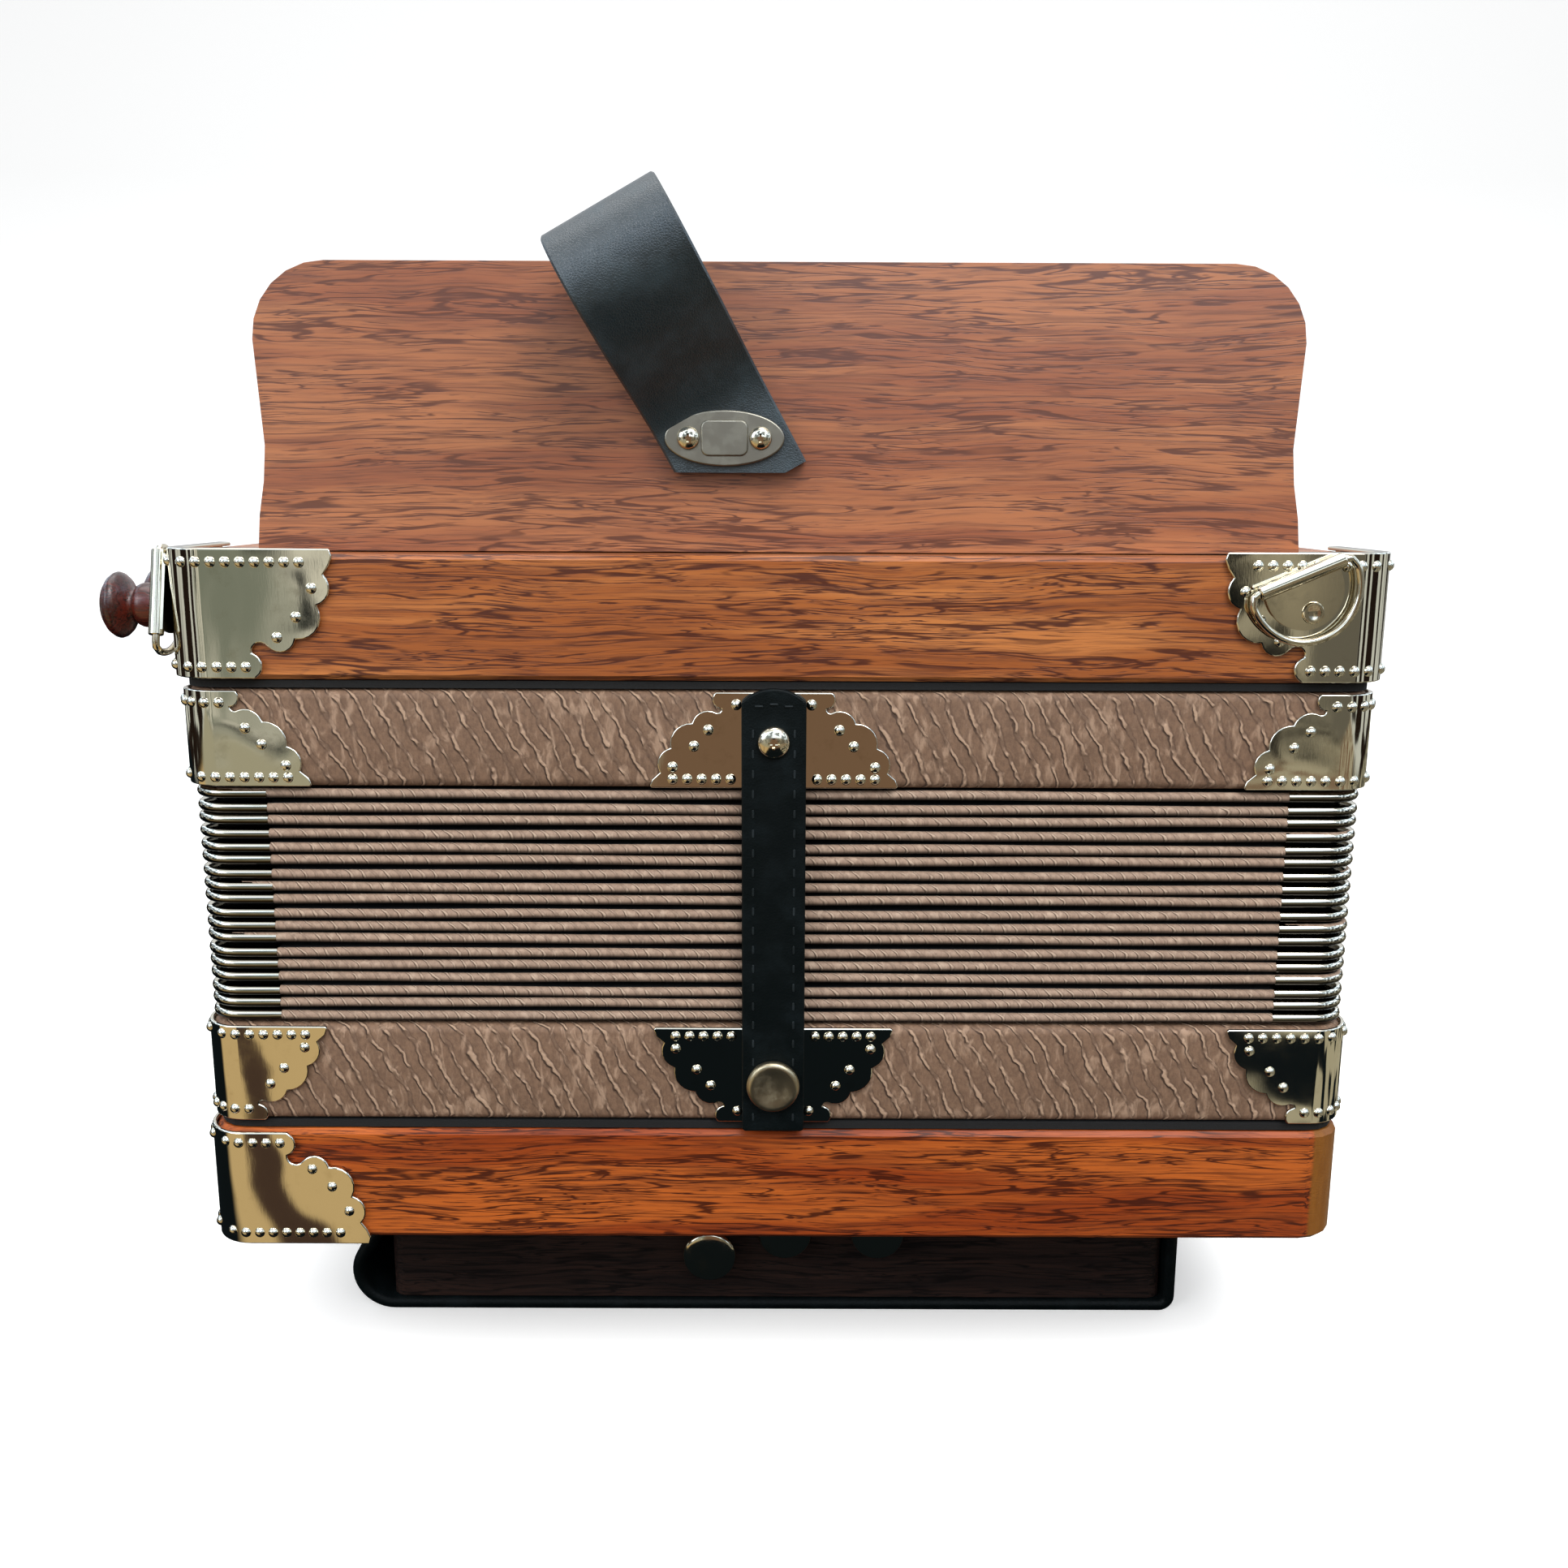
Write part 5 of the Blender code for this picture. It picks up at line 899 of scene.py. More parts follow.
def corner_cap():
    """A half-round metal cap that runs a little way along both sides of a rib's corner."""
    radius = RIM_RADIUS + 0.1 * MM
    bow = quarter((FOLD_INSET + RIM_RADIUS, 0), radius, 270, 90, 8)
    section = [(FLANK_INSET, -radius), *bow, (FLANK_INSET, radius)]
    path = [(-CAP_REACH, 90)] + [(0, 90 - 90 * i / 8) for i in range(9)] + [(CAP_REACH, 0)]
    bm = bmesh.new()
    rows = []
    for slide, angle in path:
        turn = math.radians(angle)
        offset = Vector((slide, 0)) if slide < 0 else Vector((0, -slide))
        spoke = Vector((math.cos(turn), math.sin(turn)))
        rows.append([
            bm.verts.new((*(spoke * (FRAME_CORNER - inset) + offset), level)) for inset, level in section
        ])
    return strip(bm, rows)


def corner_caps():
    cx, cy = FRAME_WIDTH / 2 - FRAME_CORNER, FRAME_DEPTH / 2 - FRAME_CORNER
    places = [
        (Vector((sx * cx, sy * cy, fold_level(fold))), (0, 0, turn * math.pi / 2))
        for fold in range(FOLD_COUNT) for turn, (sx, sy) in enumerate(((1, 1), (-1, 1), (-1, -1), (1, -1)))
    ]
    caps = scattered("fold_corner_caps", corner_cap(), CAP_NICKEL, places)
    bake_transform(caps)


def bellows():
    folds()
    corner_caps()


# Bellows straps

def phillips_screw(radius, head, recess):
    """A domed head with a cross recess, its foot on Z = 0."""
    dome = [math.radians(d) for d in (18, 36, 54, 72, 84)]
    profile = [(0, head)]
    profile += [(radius * 0.97 * math.sin(a), head * (0.28 + 0.72 * math.cos(a))) for a in dome]
    profile += [(radius, head * 0.25), (radius, 0), (0, 0)]
    screw = to_object("screw", lathe(profile, 40))
    for turn in (0, math.pi / 2):
        bar = block((recess * 2.1, recess * 0.42, head * 1.2), (0, 0, head))
        for vert in bar.verts:
            if vert.co.z < head:
                vert.co.x *= 0.45
                vert.co.y *= 0.7
        bar.transform(Matrix.Rotation(turn, 4, "Z"))
        screw = cut(screw, to_object("bar", bar))
    bm = bmesh.new()
    bm.from_mesh(screw.data)
    bpy.data.objects.remove(screw, do_unlink=True)
    return bm


def stitch(length, radius):
    """One stitch of thread, a ball drawn out along Z."""
    bm = bmesh.new()
    bmesh.ops.create_uvsphere(bm, u_segments=8, v_segments=6, radius=radius)
    for vert in bm.verts:
        vert.co.z += math.copysign(length / 2, vert.co.z) if abs(vert.co.z) > 1e-6 else 0
    return bm


def strap_sheet(middle):
    """The strap lying down the rear, rounded at the top and cut across often where it bends."""
    half, nick = STRAP_WIDTH / 2, 0.6 * MM
    shoulder = STRAP_TOP_Z - STRAP_TOP_RISE
    outline = [(half - nick, STRAP_FOOT_Z), (half, STRAP_FOOT_Z + nick), (half, shoulder)]
    outline += arc((half, shoulder), (-half, shoulder), STRAP_TOP_RISE, 16)
    outline += [(-half, STRAP_FOOT_Z + nick), (-half + nick, STRAP_FOOT_Z)]
    bm = slab(outline, STRAP_THICK)
    level = STRAP_FOOT_Z
    while level < STRAP_TOP_Z:
        slice_at(bm, (0, level, 0), (0, 1, 0))
        level += 1.3 * MM if abs(level - STRAP_HINGE_Z) < 8 * MM else 6 * MM
    bm.transform(Matrix.Translation((STRAP_X, middle, 0)) @ TO_XZ)
    return bm


def stitch_places(outer):
    """Two seams down the strap and three stitches across its top."""
    places = []
    level = STRAP_FOOT_Z + 4 * MM
    while level < STRAP_TOP_Z - 7 * MM:
        places += [(Vector((STRAP_X + x, outer, level)), (0, 0, 0)) for x in (-SEAM_X, SEAM_X)]
        level += STITCH_PITCH
    for x, drop in ((-3.6 * MM, 4.2 * MM), (0, 3.7 * MM), (3.6 * MM, 4.2 * MM)):
        places.append((Vector((STRAP_X + x, outer, STRAP_TOP_Z - drop)), (0, math.pi / 2, 0)))
    return places


def snap_cap():
    return lathe([
        (0, 2.05 * MM), (4.2 * MM, 2.15 * MM), (5.2 * MM, 2.35 * MM), (6.0 * MM, 2.3 * MM),
        (6.5 * MM, 1.8 * MM), (6.7 * MM, 1.0 * MM), (6.6 * MM, 0.2 * MM), (6.2 * MM, 0), (0, 0),
    ], 64)


def bellows_straps():
    for name, way in (("rear", -1), ("front", 1)):
        middle = way * (STRAP_FACE + STRAP_THICK / 2)
        outer = way * (STRAP_FACE + STRAP_THICK)
        strap = bevelled(to_object(f"bellows_strap_{name}", strap_sheet(middle), STRAP_LEATHER), 0.55 * MM, 3)
        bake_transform(strap)
        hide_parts(f"strap_tab_{name}", f"strap_tail_{name}")
        seam = scattered(f"strap_stitches_{name}", stitch(1.5 * MM, 0.3 * MM), THREAD, stitch_places(outer))
        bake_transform(seam)
        out = Matrix.Rotation(math.pi / 2 * -way, 4, "X")
        screw = phillips_screw(4 * MM, 2.2 * MM, 2.0 * MM)
        screw.transform(Matrix.Translation((STRAP_X, outer, STRAP_SCREW_Z)) @ out)
        obj = to_object(f"strap_screw_head_{name}", screw, NICKEL_PARTS)
        place(obj, body_of(f"strap_screw_{name}"), "nickel", f"strap_screw_{name}")
        cap = snap_cap()
        cap.transform(Matrix.Translation((STRAP_X, outer + way * 0.2 * MM, SNAP_Z)) @ out)
        obj = to_object(f"snap_cap_disc_{name}", cap, WORN_NICKEL, sharp=50)
        place(obj, body_of(f"snap_cap_{name}"), "nickel", f"snap_cap_{name}")


# Thumb strap and its plate

def band(path, thickness, width, edge=0.5 * MM):
    """A strap drawn by its centre line in XY and extruded along Z to its width, with rounded edges."""
    points = [Vector(p) for p in path]
    half, rim = thickness / 2, min(edge, thickness * 0.45)
    profile = [(half - rim, -width / 2), (half, -width / 2 + rim)]
    profile += [(half, width / 2 - rim), (half - rim, width / 2)]
    profile += [(-a, b) for a, b in reversed(profile)]
    bm = bmesh.new()
    rows = []
    for i, point in enumerate(points):
        before, after = points[max(i - 1, 0)], points[min(i + 1, len(points) - 1)]
        inward = (point - before).normalized() if i else (after - point).normalized()
        outward = (after - point).normalized() if i < len(points) - 1 else inward
        way = (inward + outward).normalized()
        normal = Vector((-way.y, way.x)) / max(way.dot(inward), 0.5)
        rows.append([bm.verts.new((*(point + normal * a), b)) for a, b in profile])
    strip(bm, rows)
    bmesh.ops.recalc_face_normals(bm, faces=bm.faces[:])
    return bm


def thumb_loop():
    """A loop that rises from two layers under the plate, cut level below it."""
    half = THUMB_THICK / 2
    centre = Vector((THUMB_LOOP_LENGTH, THUMB_LOOP_RADIUS + THUMB_THICK + SEAT_GAP))
    tail, upper = -14 * MM, 3.05 * half
    path = [(tail, half), (0, half), (13 * MM, half), (24 * MM, half * 1.3)]
    path += quarter(centre, THUMB_LOOP_RADIUS, -82, 118, 26)
    path += [(27 * MM, 21 * MM), (18 * MM, 11 * MM), (11 * MM, 5 * MM), (5 * MM, 3.4 * half), (0, upper),
             (tail, upper)]
    bm = band(path, THUMB_THICK, THUMB_WIDTH)
    along = Vector((-math.sin(THUMB_LEAN), 0, math.cos(THUMB_LEAN)))
    out = Vector((0, -1, 0))
    bm.transform(Matrix.Translation(THUMB_START) @ axes_of(along, out, along.cross(out)))
    low = THUMB_START.z - 8 * MM
    cutter = block((120 * MM, 60 * MM, 40 * MM), (THUMB_START.x, THUMB_START.y, low - 20 * MM))
    strap = to_object("thumb_strap_leather", bm, THUMB_LEATHER)
    cut(strap, to_object("trim", cutter))
    strap.data.shade_smooth()
    strap.data.set_sharp_from_angle(angle=math.radians(40))
    place(strap, body_of("thumb_strap"), "black_leather", "thumb_strap")


def thumb_plate():
    """An oval plate with a raised panel between two screws."""
    back = THUMB_START.y - SEAT_GAP - 2 * THUMB_THICK
    turns = [2 * math.pi * i / 48 for i in range(48)]
    oval = [(14.3 * MM * math.cos(a), 6.5 * MM * math.sin(a)) for a in turns]
    face = Matrix.Translation((THUMB_START.x, back - 0.5 * MM, THUMB_START.z)) @ TO_XZ
    bm = slab(oval, 1.0 * MM)
    bm.transform(face)
    plate = bevelled(to_object("thumb_plate", bm, TIN), 0.35 * MM, 3)
    place(plate, body_of("thumb_strap_plate"), "nickel", "thumb_strap_plate")
    panel = []
    for sx, sy, start in ((1, 1, 0), (-1, 1, 90), (-1, -1, 180), (1, -1, 270)):
        panel += quarter((sx * 3.8 * MM, sy * 2.4 * MM), 1.8 * MM, start, start + 90, 6)
    bm = slab(panel, 0.9 * MM)
    bm.transform(face @ Matrix.Translation((0, 0, 0.45 * MM)))
    raised = bevelled(to_object("thumb_plate_panel", bm, TIN), 0.4 * MM, 3)
    place(raised, body_of("thumb_strap_plate"), "nickel")
    spots = [
        (Vector((THUMB_START.x + x, back - 0.95 * MM, THUMB_START.z)), (math.pi / 2, 0, 0))
        for x in (-THUMB_SCREW_X, THUMB_SCREW_X)
    ]
    screw = phillips_screw(2.7 * MM, 1.5 * MM, 1.5 * MM)
    screws = scattered("thumb_plate_screws", screw, NICKEL_PARTS, spots)
    place(screws, body_of("thumb_strap_plate"), "nickel")


# Hand strap round the bass box

def hand_strap():
    """Snug under the case, slack at the lower left corner, flat underneath and snug on the right."""
    centre = HAND_STRAP_THICK / 2
    end = BOX_END + SEAT_GAP + centre
    top = BASS_CASE_BOTTOM - SEAT_GAP - centre
    fold, bend, snug = HAND_STRAP_TOP_BEND, HAND_STRAP_BEND, HAND_STRAP_SNUG_BEND
    path = [(-end - HAND_STRAP_TAIL, top)]
    path += quarter((-end - fold, top - fold), fold, 90, 0, 6)
    path += [(-end, 30 * MM), (-end - 0.6 * MM, 26.4 * MM), (-end - HAND_STRAP_SLACK / 4, 23.5 * MM)]
    path += quarter((-end - HAND_STRAP_SLACK + bend, centre + bend), bend, 150, 270, 14)
    path += [(x * MM, centre) for x in range(-90, 100, 20)]
    path += quarter((end - snug, centre + snug), snug, -90, 0, 6)
    path += quarter((end + fold, top - fold), fold, 180, 90, 6)
    path.append((end + HAND_STRAP_TAIL, top))
    bm = band(path, HAND_STRAP_THICK - 0.02 * MM, HAND_STRAP_WIDTH, 1.2 * MM)
    bm.transform(TO_XZ)
    strap = to_object("hand_strap_leather", bm, STRAP_LEATHER, sharp=50)
    place(strap, body_of("hand_strap"), "black_leather", "hand_strap")


# Turned knobs, key heads and bass buttons

def knobs():
    """Turned knobs on steel rods, drawn from the outer end as (share of the radius, millimetres)."""
    end = -CASE_WIDTH / 2 - STOP_STAND_OFF
    profile = [
        (0, 17.5), (0.27, 17.4), (0.52, 17.05), (0.73, 16.4), (0.89, 15.4), (0.98, 14.3), (1.0, 13.7),
        (0.97, 12.9), (0.87, 11.9), (0.71, 11.0), (0.55, 10.4), (0.47, 9.8), (0.46, 9.3), (0.52, 8.9),
        (0.61, 8.3), (0.66, 7.4), (0.68, 6.3), (0.67, 4.8), (0.635, 3.2), (0.57, 1.7), (0.49, 0.6),
        (0.42, 0), (0, 0),
    ]
    for index, y in enumerate(STOP_Y):
        bm = lathe([(share * KNOB_RADIUS, level * MM) for share, level in profile], 56)
        bm.transform(Matrix.Translation((end, y, STOP_Z)) @ Matrix.Rotation(-math.pi / 2, 4, "Y"))
        knob = to_object(f"stop_knob_{index + 1}", bm, KNOB_WOOD, sharp=50)
        node = f"stop_{index + 1}"
        place(knob, body_of(node), "knob_wood", node)
        rest = copied(node, keep=lambda c: c.x > end - 0.5 * MM)
        rod = to_object(f"stop_rod_{index + 1}", rest, STEEL)
        place(rod, body_of(node), "steel", node)


def keys():
    """Pearl heads on steel levers, with leather on the undersides of the pallets."""
    r = BUTTON_RADIUS
    for index, x in enumerate(KEY_X):
        node = f"key_{index + 1}"
        head = lathe([
            (0, 4.1 * MM), (r * 0.45, 4.15 * MM), (r * 0.7, 4.4 * MM), (r * 0.86, 4.35 * MM),
            (r * 0.96, 3.8 * MM), (r, 3.0 * MM), (r, 0.5 * MM), (r * 0.93, 0), (0, 0),
        ])
        facing = Matrix.Rotation(-math.pi / 2, 4, "X")
        head.transform(Matrix.Translation((x, BUTTON_BACK_Y, BUTTON_Z)) @ facing)
        place(to_object(f"{node}_head", head, PEARL, sharp=50), body_of(node), "key_metal", node)
        lever = copied(node, keep=lambda c: c.y < BUTTON_BACK_Y + 0.1 * MM or c.z < 260 * MM)
        for face in lever.faces:
            low = face.calc_center_median()
            face.material_index = 1 if low.z < 224.5 * MM and low.y > -40 * MM else 0
        obj = to_object(f"{node}_lever", lever, STEEL, PALLET_LEATHER)
        place(bevelled(obj, 0.25 * MM), body_of(node), "key_metal", node)


def bass_buttons():
    r = DISC_RADIUS
    for node, (x, z) in DISCS.items():
        disc = lathe([
            (0, 2.95 * MM), (r * 0.55, 2.9 * MM), (r * 0.85, 2.7 * MM), (r * 0.96, 2.2 * MM), (r, 1.4 * MM),
            (r * 0.97, 0.3 * MM), (r * 0.9, 0), (0, 0),
        ], 56)
        disc.transform(Matrix.Translation((x, DISC_FACE_Y, z)) @ Matrix.Rotation(math.pi / 2, 4, "X"))
        place(to_object(f"{node}_disc", disc, NICKEL_PARTS, sharp=50), body_of(node), "steel", node)
        stem = to_object(f"{node}_stem", copied(node, keep=lambda c: c.y > DISC_FACE_Y - 0.1 * MM), STEEL)
        place(stem, body_of(node), "steel", node)


# Shoulder-strap brackets and rings

def bracket_mesh(sign):
    """A sheet with a round lower edge, rolled into a tube along its top and held by one rivet."""
    half, sheet_half, above, straight, round_deep = 10.5 * MM, 9.3 * MM, 1.2 * MM, 3.5 * MM, 9.6 * MM
    thick, tube, bore, chamfer = 0.8 * MM, 1.8 * MM, 1.25 * MM, 0.2 * MM
    turns = [math.pi * i / 28 for i in range(29)]
    outline = [(sheet_half, -above)]
    outline += [(sheet_half * math.cos(a), straight + round_deep * math.sin(a)) for a in turns]
    outline.append((-sheet_half, -above))
    bm = slab([(u, v * sign) for u, v in outline], thick)
    bm.transform(Matrix.Translation((0, 0, thick / 2)))
    roll = lathe([
        (bore, 0), (tube - chamfer, 0), (tube, chamfer), (tube, 2 * half - chamfer),
        (tube - chamfer, 2 * half), (bore, 2 * half), (bore, 0),
    ], 28)
    bmesh.ops.remove_doubles(roll, verts=roll.verts[:], dist=1e-7)
    merge(bm, roll, Matrix.Translation((-half, 0, RING_LIFT)) @ Matrix.Rotation(math.pi / 2, 4, "Y"))
    rivet = lathe([
        (0, 0.5 * MM), (1.3 * MM, 0.55 * MM), (1.9 * MM, 0.75 * MM), (2.3 * MM, 0.7 * MM),
        (2.6 * MM, 0.35 * MM), (2.7 * MM, 0), (0, 0),
    ], 32)
    return merge(bm, rivet, Matrix.Translation((0, sheet_half * sign, thick)))


def ring_path(sign):
    """A D: straight through the tube, with a round bow below it."""
    half, deep, straight = 12.9 * MM, 15.8 * MM, 2.5 * MM
    corner = 0.35 * MM
    path = [(-half + 2 * MM, 0), (0, 0), (half - 2 * MM, 0), (half - 0.8 * MM, corner)]
    for angle in [math.pi * i / 32 for i in range(33)]:
        path.append((half * math.cos(angle), straight + (deep - straight) * math.sin(angle)))
    path.append((-half + 0.8 * MM, corner))
    return [(x, y * sign, 0) for x, y in path]


def rings():
    """The rear ring leans across the corner plate. The left one hangs a little out of its upright tube."""
    rear_along = Vector((math.cos(REAR_RING_LEAN), 0, math.sin(REAR_RING_LEAN)))
    left_along = Vector((0, math.sin(LEFT_RING_LEAN), math.cos(LEFT_RING_LEAN)))
    for name, origin, along, out, slide in (
        ("rear", REAR_BRACKET, rear_along, Vector((0, -1, 0)), 0.0),
        ("left", LEFT_BRACKET, left_along, Vector((-1, 0, 0)), LEFT_RING_SLIDE),
    ):
        down = out.cross(along)
        sign = -1 if down.z > 0 else 1
        seat = Matrix.Translation(origin) @ axes_of(along, down, out)
        bm = wire(ring_path(sign), 0.9 * MM)
        bm.transform(seat @ Matrix.Translation((-slide, 0, RING_LIFT)))
        ring = to_object(f"ring_{name}_wire", bm, NICKEL_PARTS, sharp=60)
        place(ring, body_of(f"d_ring_{name}"), "nickel", f"d_ring_{name}")
        bm = bracket_mesh(sign)
        bm.transform(seat)
        bracket = to_object(f"bracket_{name}", bm, NICKEL_PARTS, sharp=40)
        place(bracket, body_of(f"ring_bracket_{name}"), "nickel", f"ring_bracket_{name}")


# Wooden bodies and what stays as the CAD has it

def bodies():
    """The wooden bodies with their edges eased, and the inner parts with a finish on the CAD mesh."""
    for node, finish, slot, edge in (
        ("treble_case", CASE_WOOD, "walnut", 0.4), ("bass_case", BASS_WOOD, "red_wood", 0.4),
        ("bass_box", DARK_WOOD, "dark_wood", 0.5), ("fingerboard", BOARD_WOOD, "walnut", 1.0),
        ("treble_action_board", CASE_WOOD, "walnut", 0.3),
    ):
        obj = bevelled(to_object(f"{node}_wood", copied(node), finish), edge * MM, 3, 50)
        place(obj, body_of(node), slot, node)
    kept = (
        ("treble_gasket", SEAL_FELT), ("bass_gasket", SEAL_FELT), ("treble_reed_block_1", SPRUCE),
        ("treble_reed_block_2", SPRUCE), ("bass_reed_block", SPRUCE), ("key_axle", STEEL),
        ("bass_lever_1", STEEL), ("bass_lever_2", STEEL), ("air_lever", STEEL),
        ("strap_anchor_left", NICKEL_PARTS), ("strap_anchor_right", NICKEL_PARTS),
        ("snap_stud_rear", NICKEL_PARTS), ("snap_stud_front", NICKEL_PARTS),
    )
    for node, finish in kept:
        mesh = frame["nodes"][node].data
        mesh.materials.clear()
        mesh.materials.append(finish)


# Stage, light and camera

def unseen(name, bm, finish):
    """A piece of the surroundings that only shows in reflections."""
    obj = to_object(name, bm, finish)
    obj.visible_camera = False
    obj.visible_diffuse = False
    obj.visible_transmission = False
    obj.visible_shadow = False
    return obj


def bench_tones(tree, x, y, blobs):
    """Painted shadow of the instrument, black in the middle, with gold and brown at the left, blotches at the
    right, paler farther off.
    """
    left, right = ramp(tree, x, -0.115, -0.14), ramp(tree, x, 0.13, 0.16)
    ahead, far = ramp(tree, y, -0.125, -0.165), ramp(tree, y, -0.42, -0.6)
    # Painted shadow: the bench is black near the instrument and paler farther off
    middle = mix(tree, far, linear("#11171A"), linear("#80654F"))
    side = mix(tree, far, linear("#D6BA86"), linear("#B4B098"))
    bench = mix(tree, calc(tree, "MULTIPLY", left, ahead), middle, side)
    slant = calc(tree, "SUBTRACT", calc(tree, "SUBTRACT", x, calc(tree, "MULTIPLY", y, 0.54)), -0.062)
    band = ramp(tree, calc(tree, "ABSOLUTE", slant), 0.010, 0.006)
    band = calc(tree, "MULTIPLY", band, calc(tree, "SUBTRACT", 1.0, far))
    bench = mix(tree, calc(tree, "MULTIPLY", band, left), bench, linear("#4B3A30"))
    return mix(tree, calc(tree, "MULTIPLY", right, blobs), bench, linear("#B8B198"))


def wall_tones(tree, x, z):
    """The wall behind the camera: streaked grey-green at the left, brown, then cream with a black part."""
    streaks = ramp(tree, noise(tree, spaced(tree, 95, 60, 700), 2.0, 0.5), 0.42, 0.6)
    grey = mix(tree, streaks, linear("#858B7E"), linear("#E6E4D6"))
    spots = ramp(tree, noise(tree, spaced(tree, 110, 90, 110), 1.0, 0.4), 0.60, 0.64)
    left = mix(tree, spots, grey, linear("#171C1C"))
    wall = mix(tree, ramp(tree, x, -0.2, -0.26), linear("#80654F"), left)
    specks = ramp(tree, noise(tree, spaced(tree, 34, 34, 34), 1.0, 0.4), 0.53, 0.56)
    edge = calc(tree, "ADD", x, calc(tree, "MULTIPLY", z, 0.4))
    inner = calc(tree, "MULTIPLY", ramp(tree, edge, 0.545, 0.533), calc(tree, "SUBTRACT", 1.0, specks))
    cream = mix(tree, ramp(tree, x, 0.525, 0.55), linear("#ADA690"), linear("#6E6A5E"))
    return mix(tree, ramp(tree, x, 0.2, 0.26), wall, mix(tree, inner, cream, linear("#101313")))


def room_finish():
    """What the bright trim mirrors: a bench top, dark side walls and a broken band of window light."""
    made = bpy.data.materials.new("room_seen_in_reflections")
    made.use_nodes = True
    tree = made.node_tree
    tree.nodes.clear()
    x, y, z = add(tree, "ShaderNodeSeparateXYZ", {0: object_place(tree)}).outputs
    sway = calc(tree, "SUBTRACT", noise(tree, spaced(tree, 130, 130, 130), 2.0), 0.5)
    x = calc(tree, "ADD", x, calc(tree, "MULTIPLY", sway, 0.06))
    blobs = ramp(tree, noise(tree, spaced(tree, 70, 70, 90), 1.5, 0.4), 0.47, 0.53)
    tone = mix(tree, ramp(tree, y, -1.0, -1.1), bench_tones(tree, x, y, blobs), wall_tones(tree, x, z))
    gleams = ramp(tree, noise(tree, spaced(tree, 400, 420, 2500), 2.0, 0.5), 0.53, 0.57)
    sides = mix(tree, gleams, linear("#241B16"), linear("#D5D8D2"))
    tone = mix(tree, ramp(tree, calc(tree, "ABSOLUTE", x), 1.0, 1.1), tone, sides)
    panes = ramp(tree, noise(tree, spaced(tree, 330, 330, 420), 1.0, 0.4), 0.44, 0.56, 0.12, 1.0)
    window = ramp(tree, z, 0.31, 0.52)
    tone = mix(tree, window, tone, linear("#C3D4E6"))
    light = calc(tree, "MULTIPLY", window, calc(tree, "MULTIPLY", panes, 3.8))
    strength = calc(tree, "ADD", calc(tree, "SUBTRACT", 1.0, window), light)
    glow = add(tree, "ShaderNodeEmission", {"Color": tone, "Strength": strength})
    end = add(tree, "ShaderNodeOutputMaterial")
    tree.links.new(glow.outputs[0], end.inputs[0])
    return made


def room():
    """Bench top and three walls, open above and behind."""
    bm = bmesh.new()
    low, high, wide, near, far = -0.002, 1.5, 1.35, -1.2, 1.4
    for corners in (
        ((-wide, near, low), (wide, near, low), (wide, far, low), (-wide, far, low)),
        ((-wide, near, low), (-wide, near, high), (wide, near, high), (wide, near, low)),
        ((-wide, far, low), (-wide, far, high), (-wide, near, high), (-wide, near, low)),
        ((wide, near, low), (wide, near, high), (wide, far, high), (wide, far, low)),
    ):
        bm.faces.new([bm.verts.new(corner) for corner in corners])
    unseen("reflected_room", bm, room_finish())


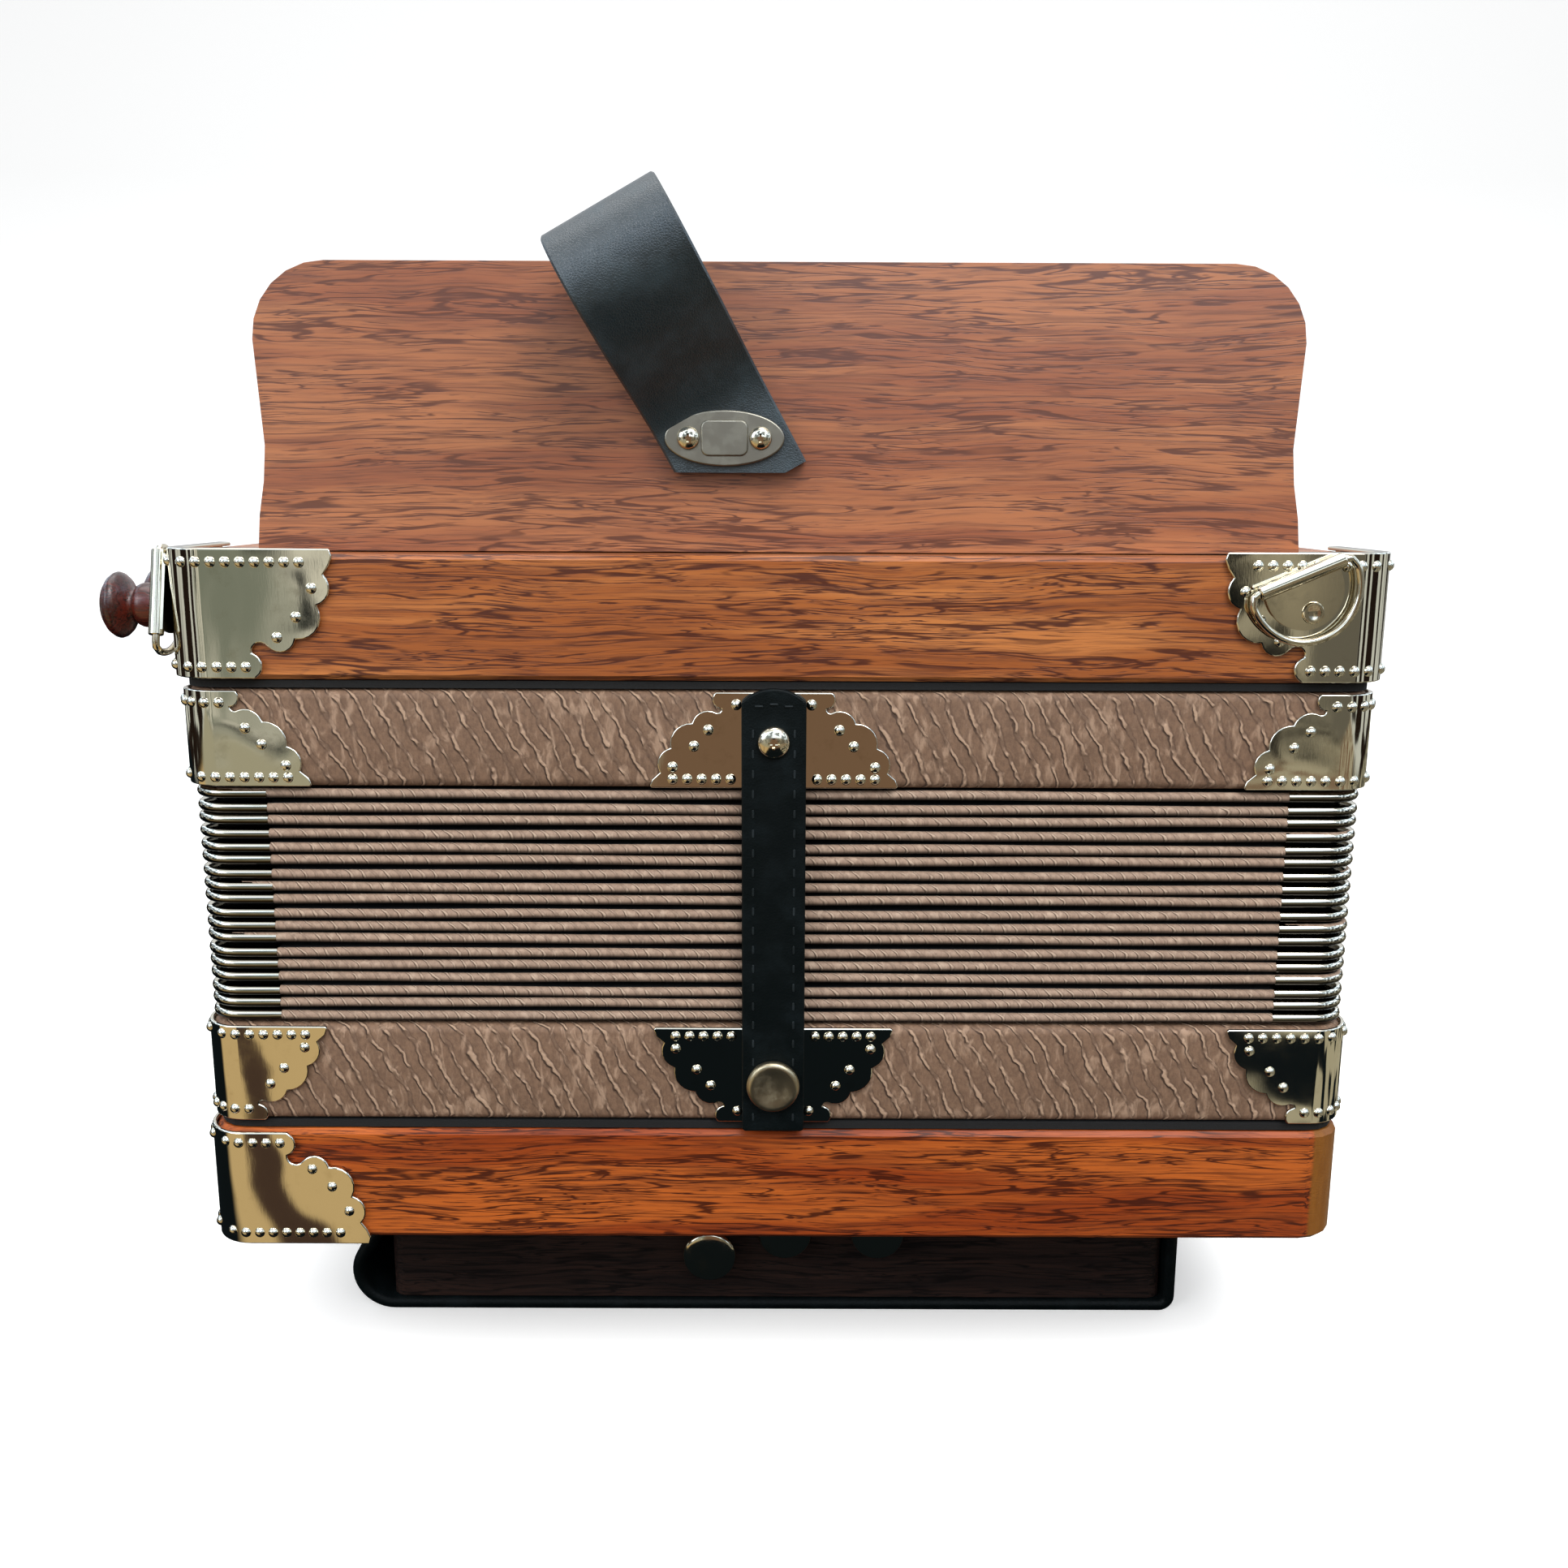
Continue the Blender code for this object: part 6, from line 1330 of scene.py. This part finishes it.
def studio_floor():
    """A pale floor that rises into a wall behind. Mirrors show the room instead of it."""
    made, _, shader = material("pale_studio_floor", Roughness=0.85, Emission_Strength=0.30)
    shader.inputs["Base Color"].default_value = linear("#F4F4F3")
    shader.inputs["Emission Color"].default_value = linear("#FFFFFF")
    near, bend_at, radius, high, half = -3.0, 1.6, 0.8, 4.0, 5
    turns = [math.radians(d) for d in range(10, 91, 10)]
    rows = [(near, 0.0), (bend_at, 0.0)]
    rows += [(bend_at + radius * math.sin(a), radius - radius * math.cos(a)) for a in turns]
    rows.append((bend_at + radius, high))
    bm = bmesh.new()
    verts = [[bm.verts.new((x, y, z)) for x in (-half, half)] for y, z in rows]
    for low, high in zip(verts, verts[1:]):
        bm.faces.new((low[0], low[1], high[1], high[0]))
    floor = to_object("studio_floor", bm, made, sharp=60)
    floor.visible_glossy = False
    floor.visible_diffuse = False


def sky():
    """White where the camera sees it. It lights the pieces more from above than from below."""
    world = bpy.data.worlds.new("studio")
    bpy.context.scene.world = world
    world.use_nodes = True
    tree = world.node_tree
    background = tree.nodes["Background"]
    looking = add(tree, "ShaderNodeNewGeometry").outputs["Incoming"]
    height = add(tree, "ShaderNodeSeparateXYZ", {0: looking}).outputs[2]
    around = mix(tree, ramp(tree, height, 0.25, -0.35), linear("#7A7774"), linear("#F2F5F8"))
    seen = add(tree, "ShaderNodeLightPath").outputs["Is Camera Ray"]
    tree.links.new(mix(tree, seen, around, (1.2, 1.2, 1.2, 1.0)), background.inputs["Color"])
    background.inputs["Strength"].default_value = 1.0


def lamps():
    """Soft square lamps, as name, watts, side and place, all turned to the middle of the case."""
    aim = Vector((0, 0, 0.15))
    for name, energy, size, at in (
        ("key", 25.0, 1.0, (0.55, -1.1, 1.5)), ("top", 15.0, 1.4, (-0.2, 0.2, 1.8)),
        ("fill", 10.0, 1.0, (-1.2, -1.0, 0.8)),
    ):
        lamp = bpy.data.lights.new(name, "AREA")
        lamp.energy = energy
        lamp.size = size
        holder = bpy.data.objects.new(name, lamp)
        holder.location = at
        holder.rotation_euler = (aim - Vector(at)).to_track_quat("-Z", "Y").to_euler()
        bpy.context.scene.collection.objects.link(holder)


def camera():
    lens = bpy.data.cameras.new("photo_camera")
    lens.lens = LENS
    lens.sensor_width = SENSOR_WIDTH
    lens.clip_start = 0.01
    holder = bpy.data.objects.new("photo_camera", lens)
    holder.location = CAMERA_PLACE
    holder.rotation_euler = (CAMERA_PITCH, CAMERA_ROLL, 0)
    bpy.context.scene.collection.objects.link(holder)
    bpy.context.scene.camera = holder


camera()
studio_floor()
room()
sky()
lamps()
bodies()
frames()
plates()
bellows()
bellows_straps()
thumb_loop()
thumb_plate()
hand_strap()
knobs()
keys()
bass_buttons()
rings()

bpy.context.scene.view_settings.view_transform = "Standard"
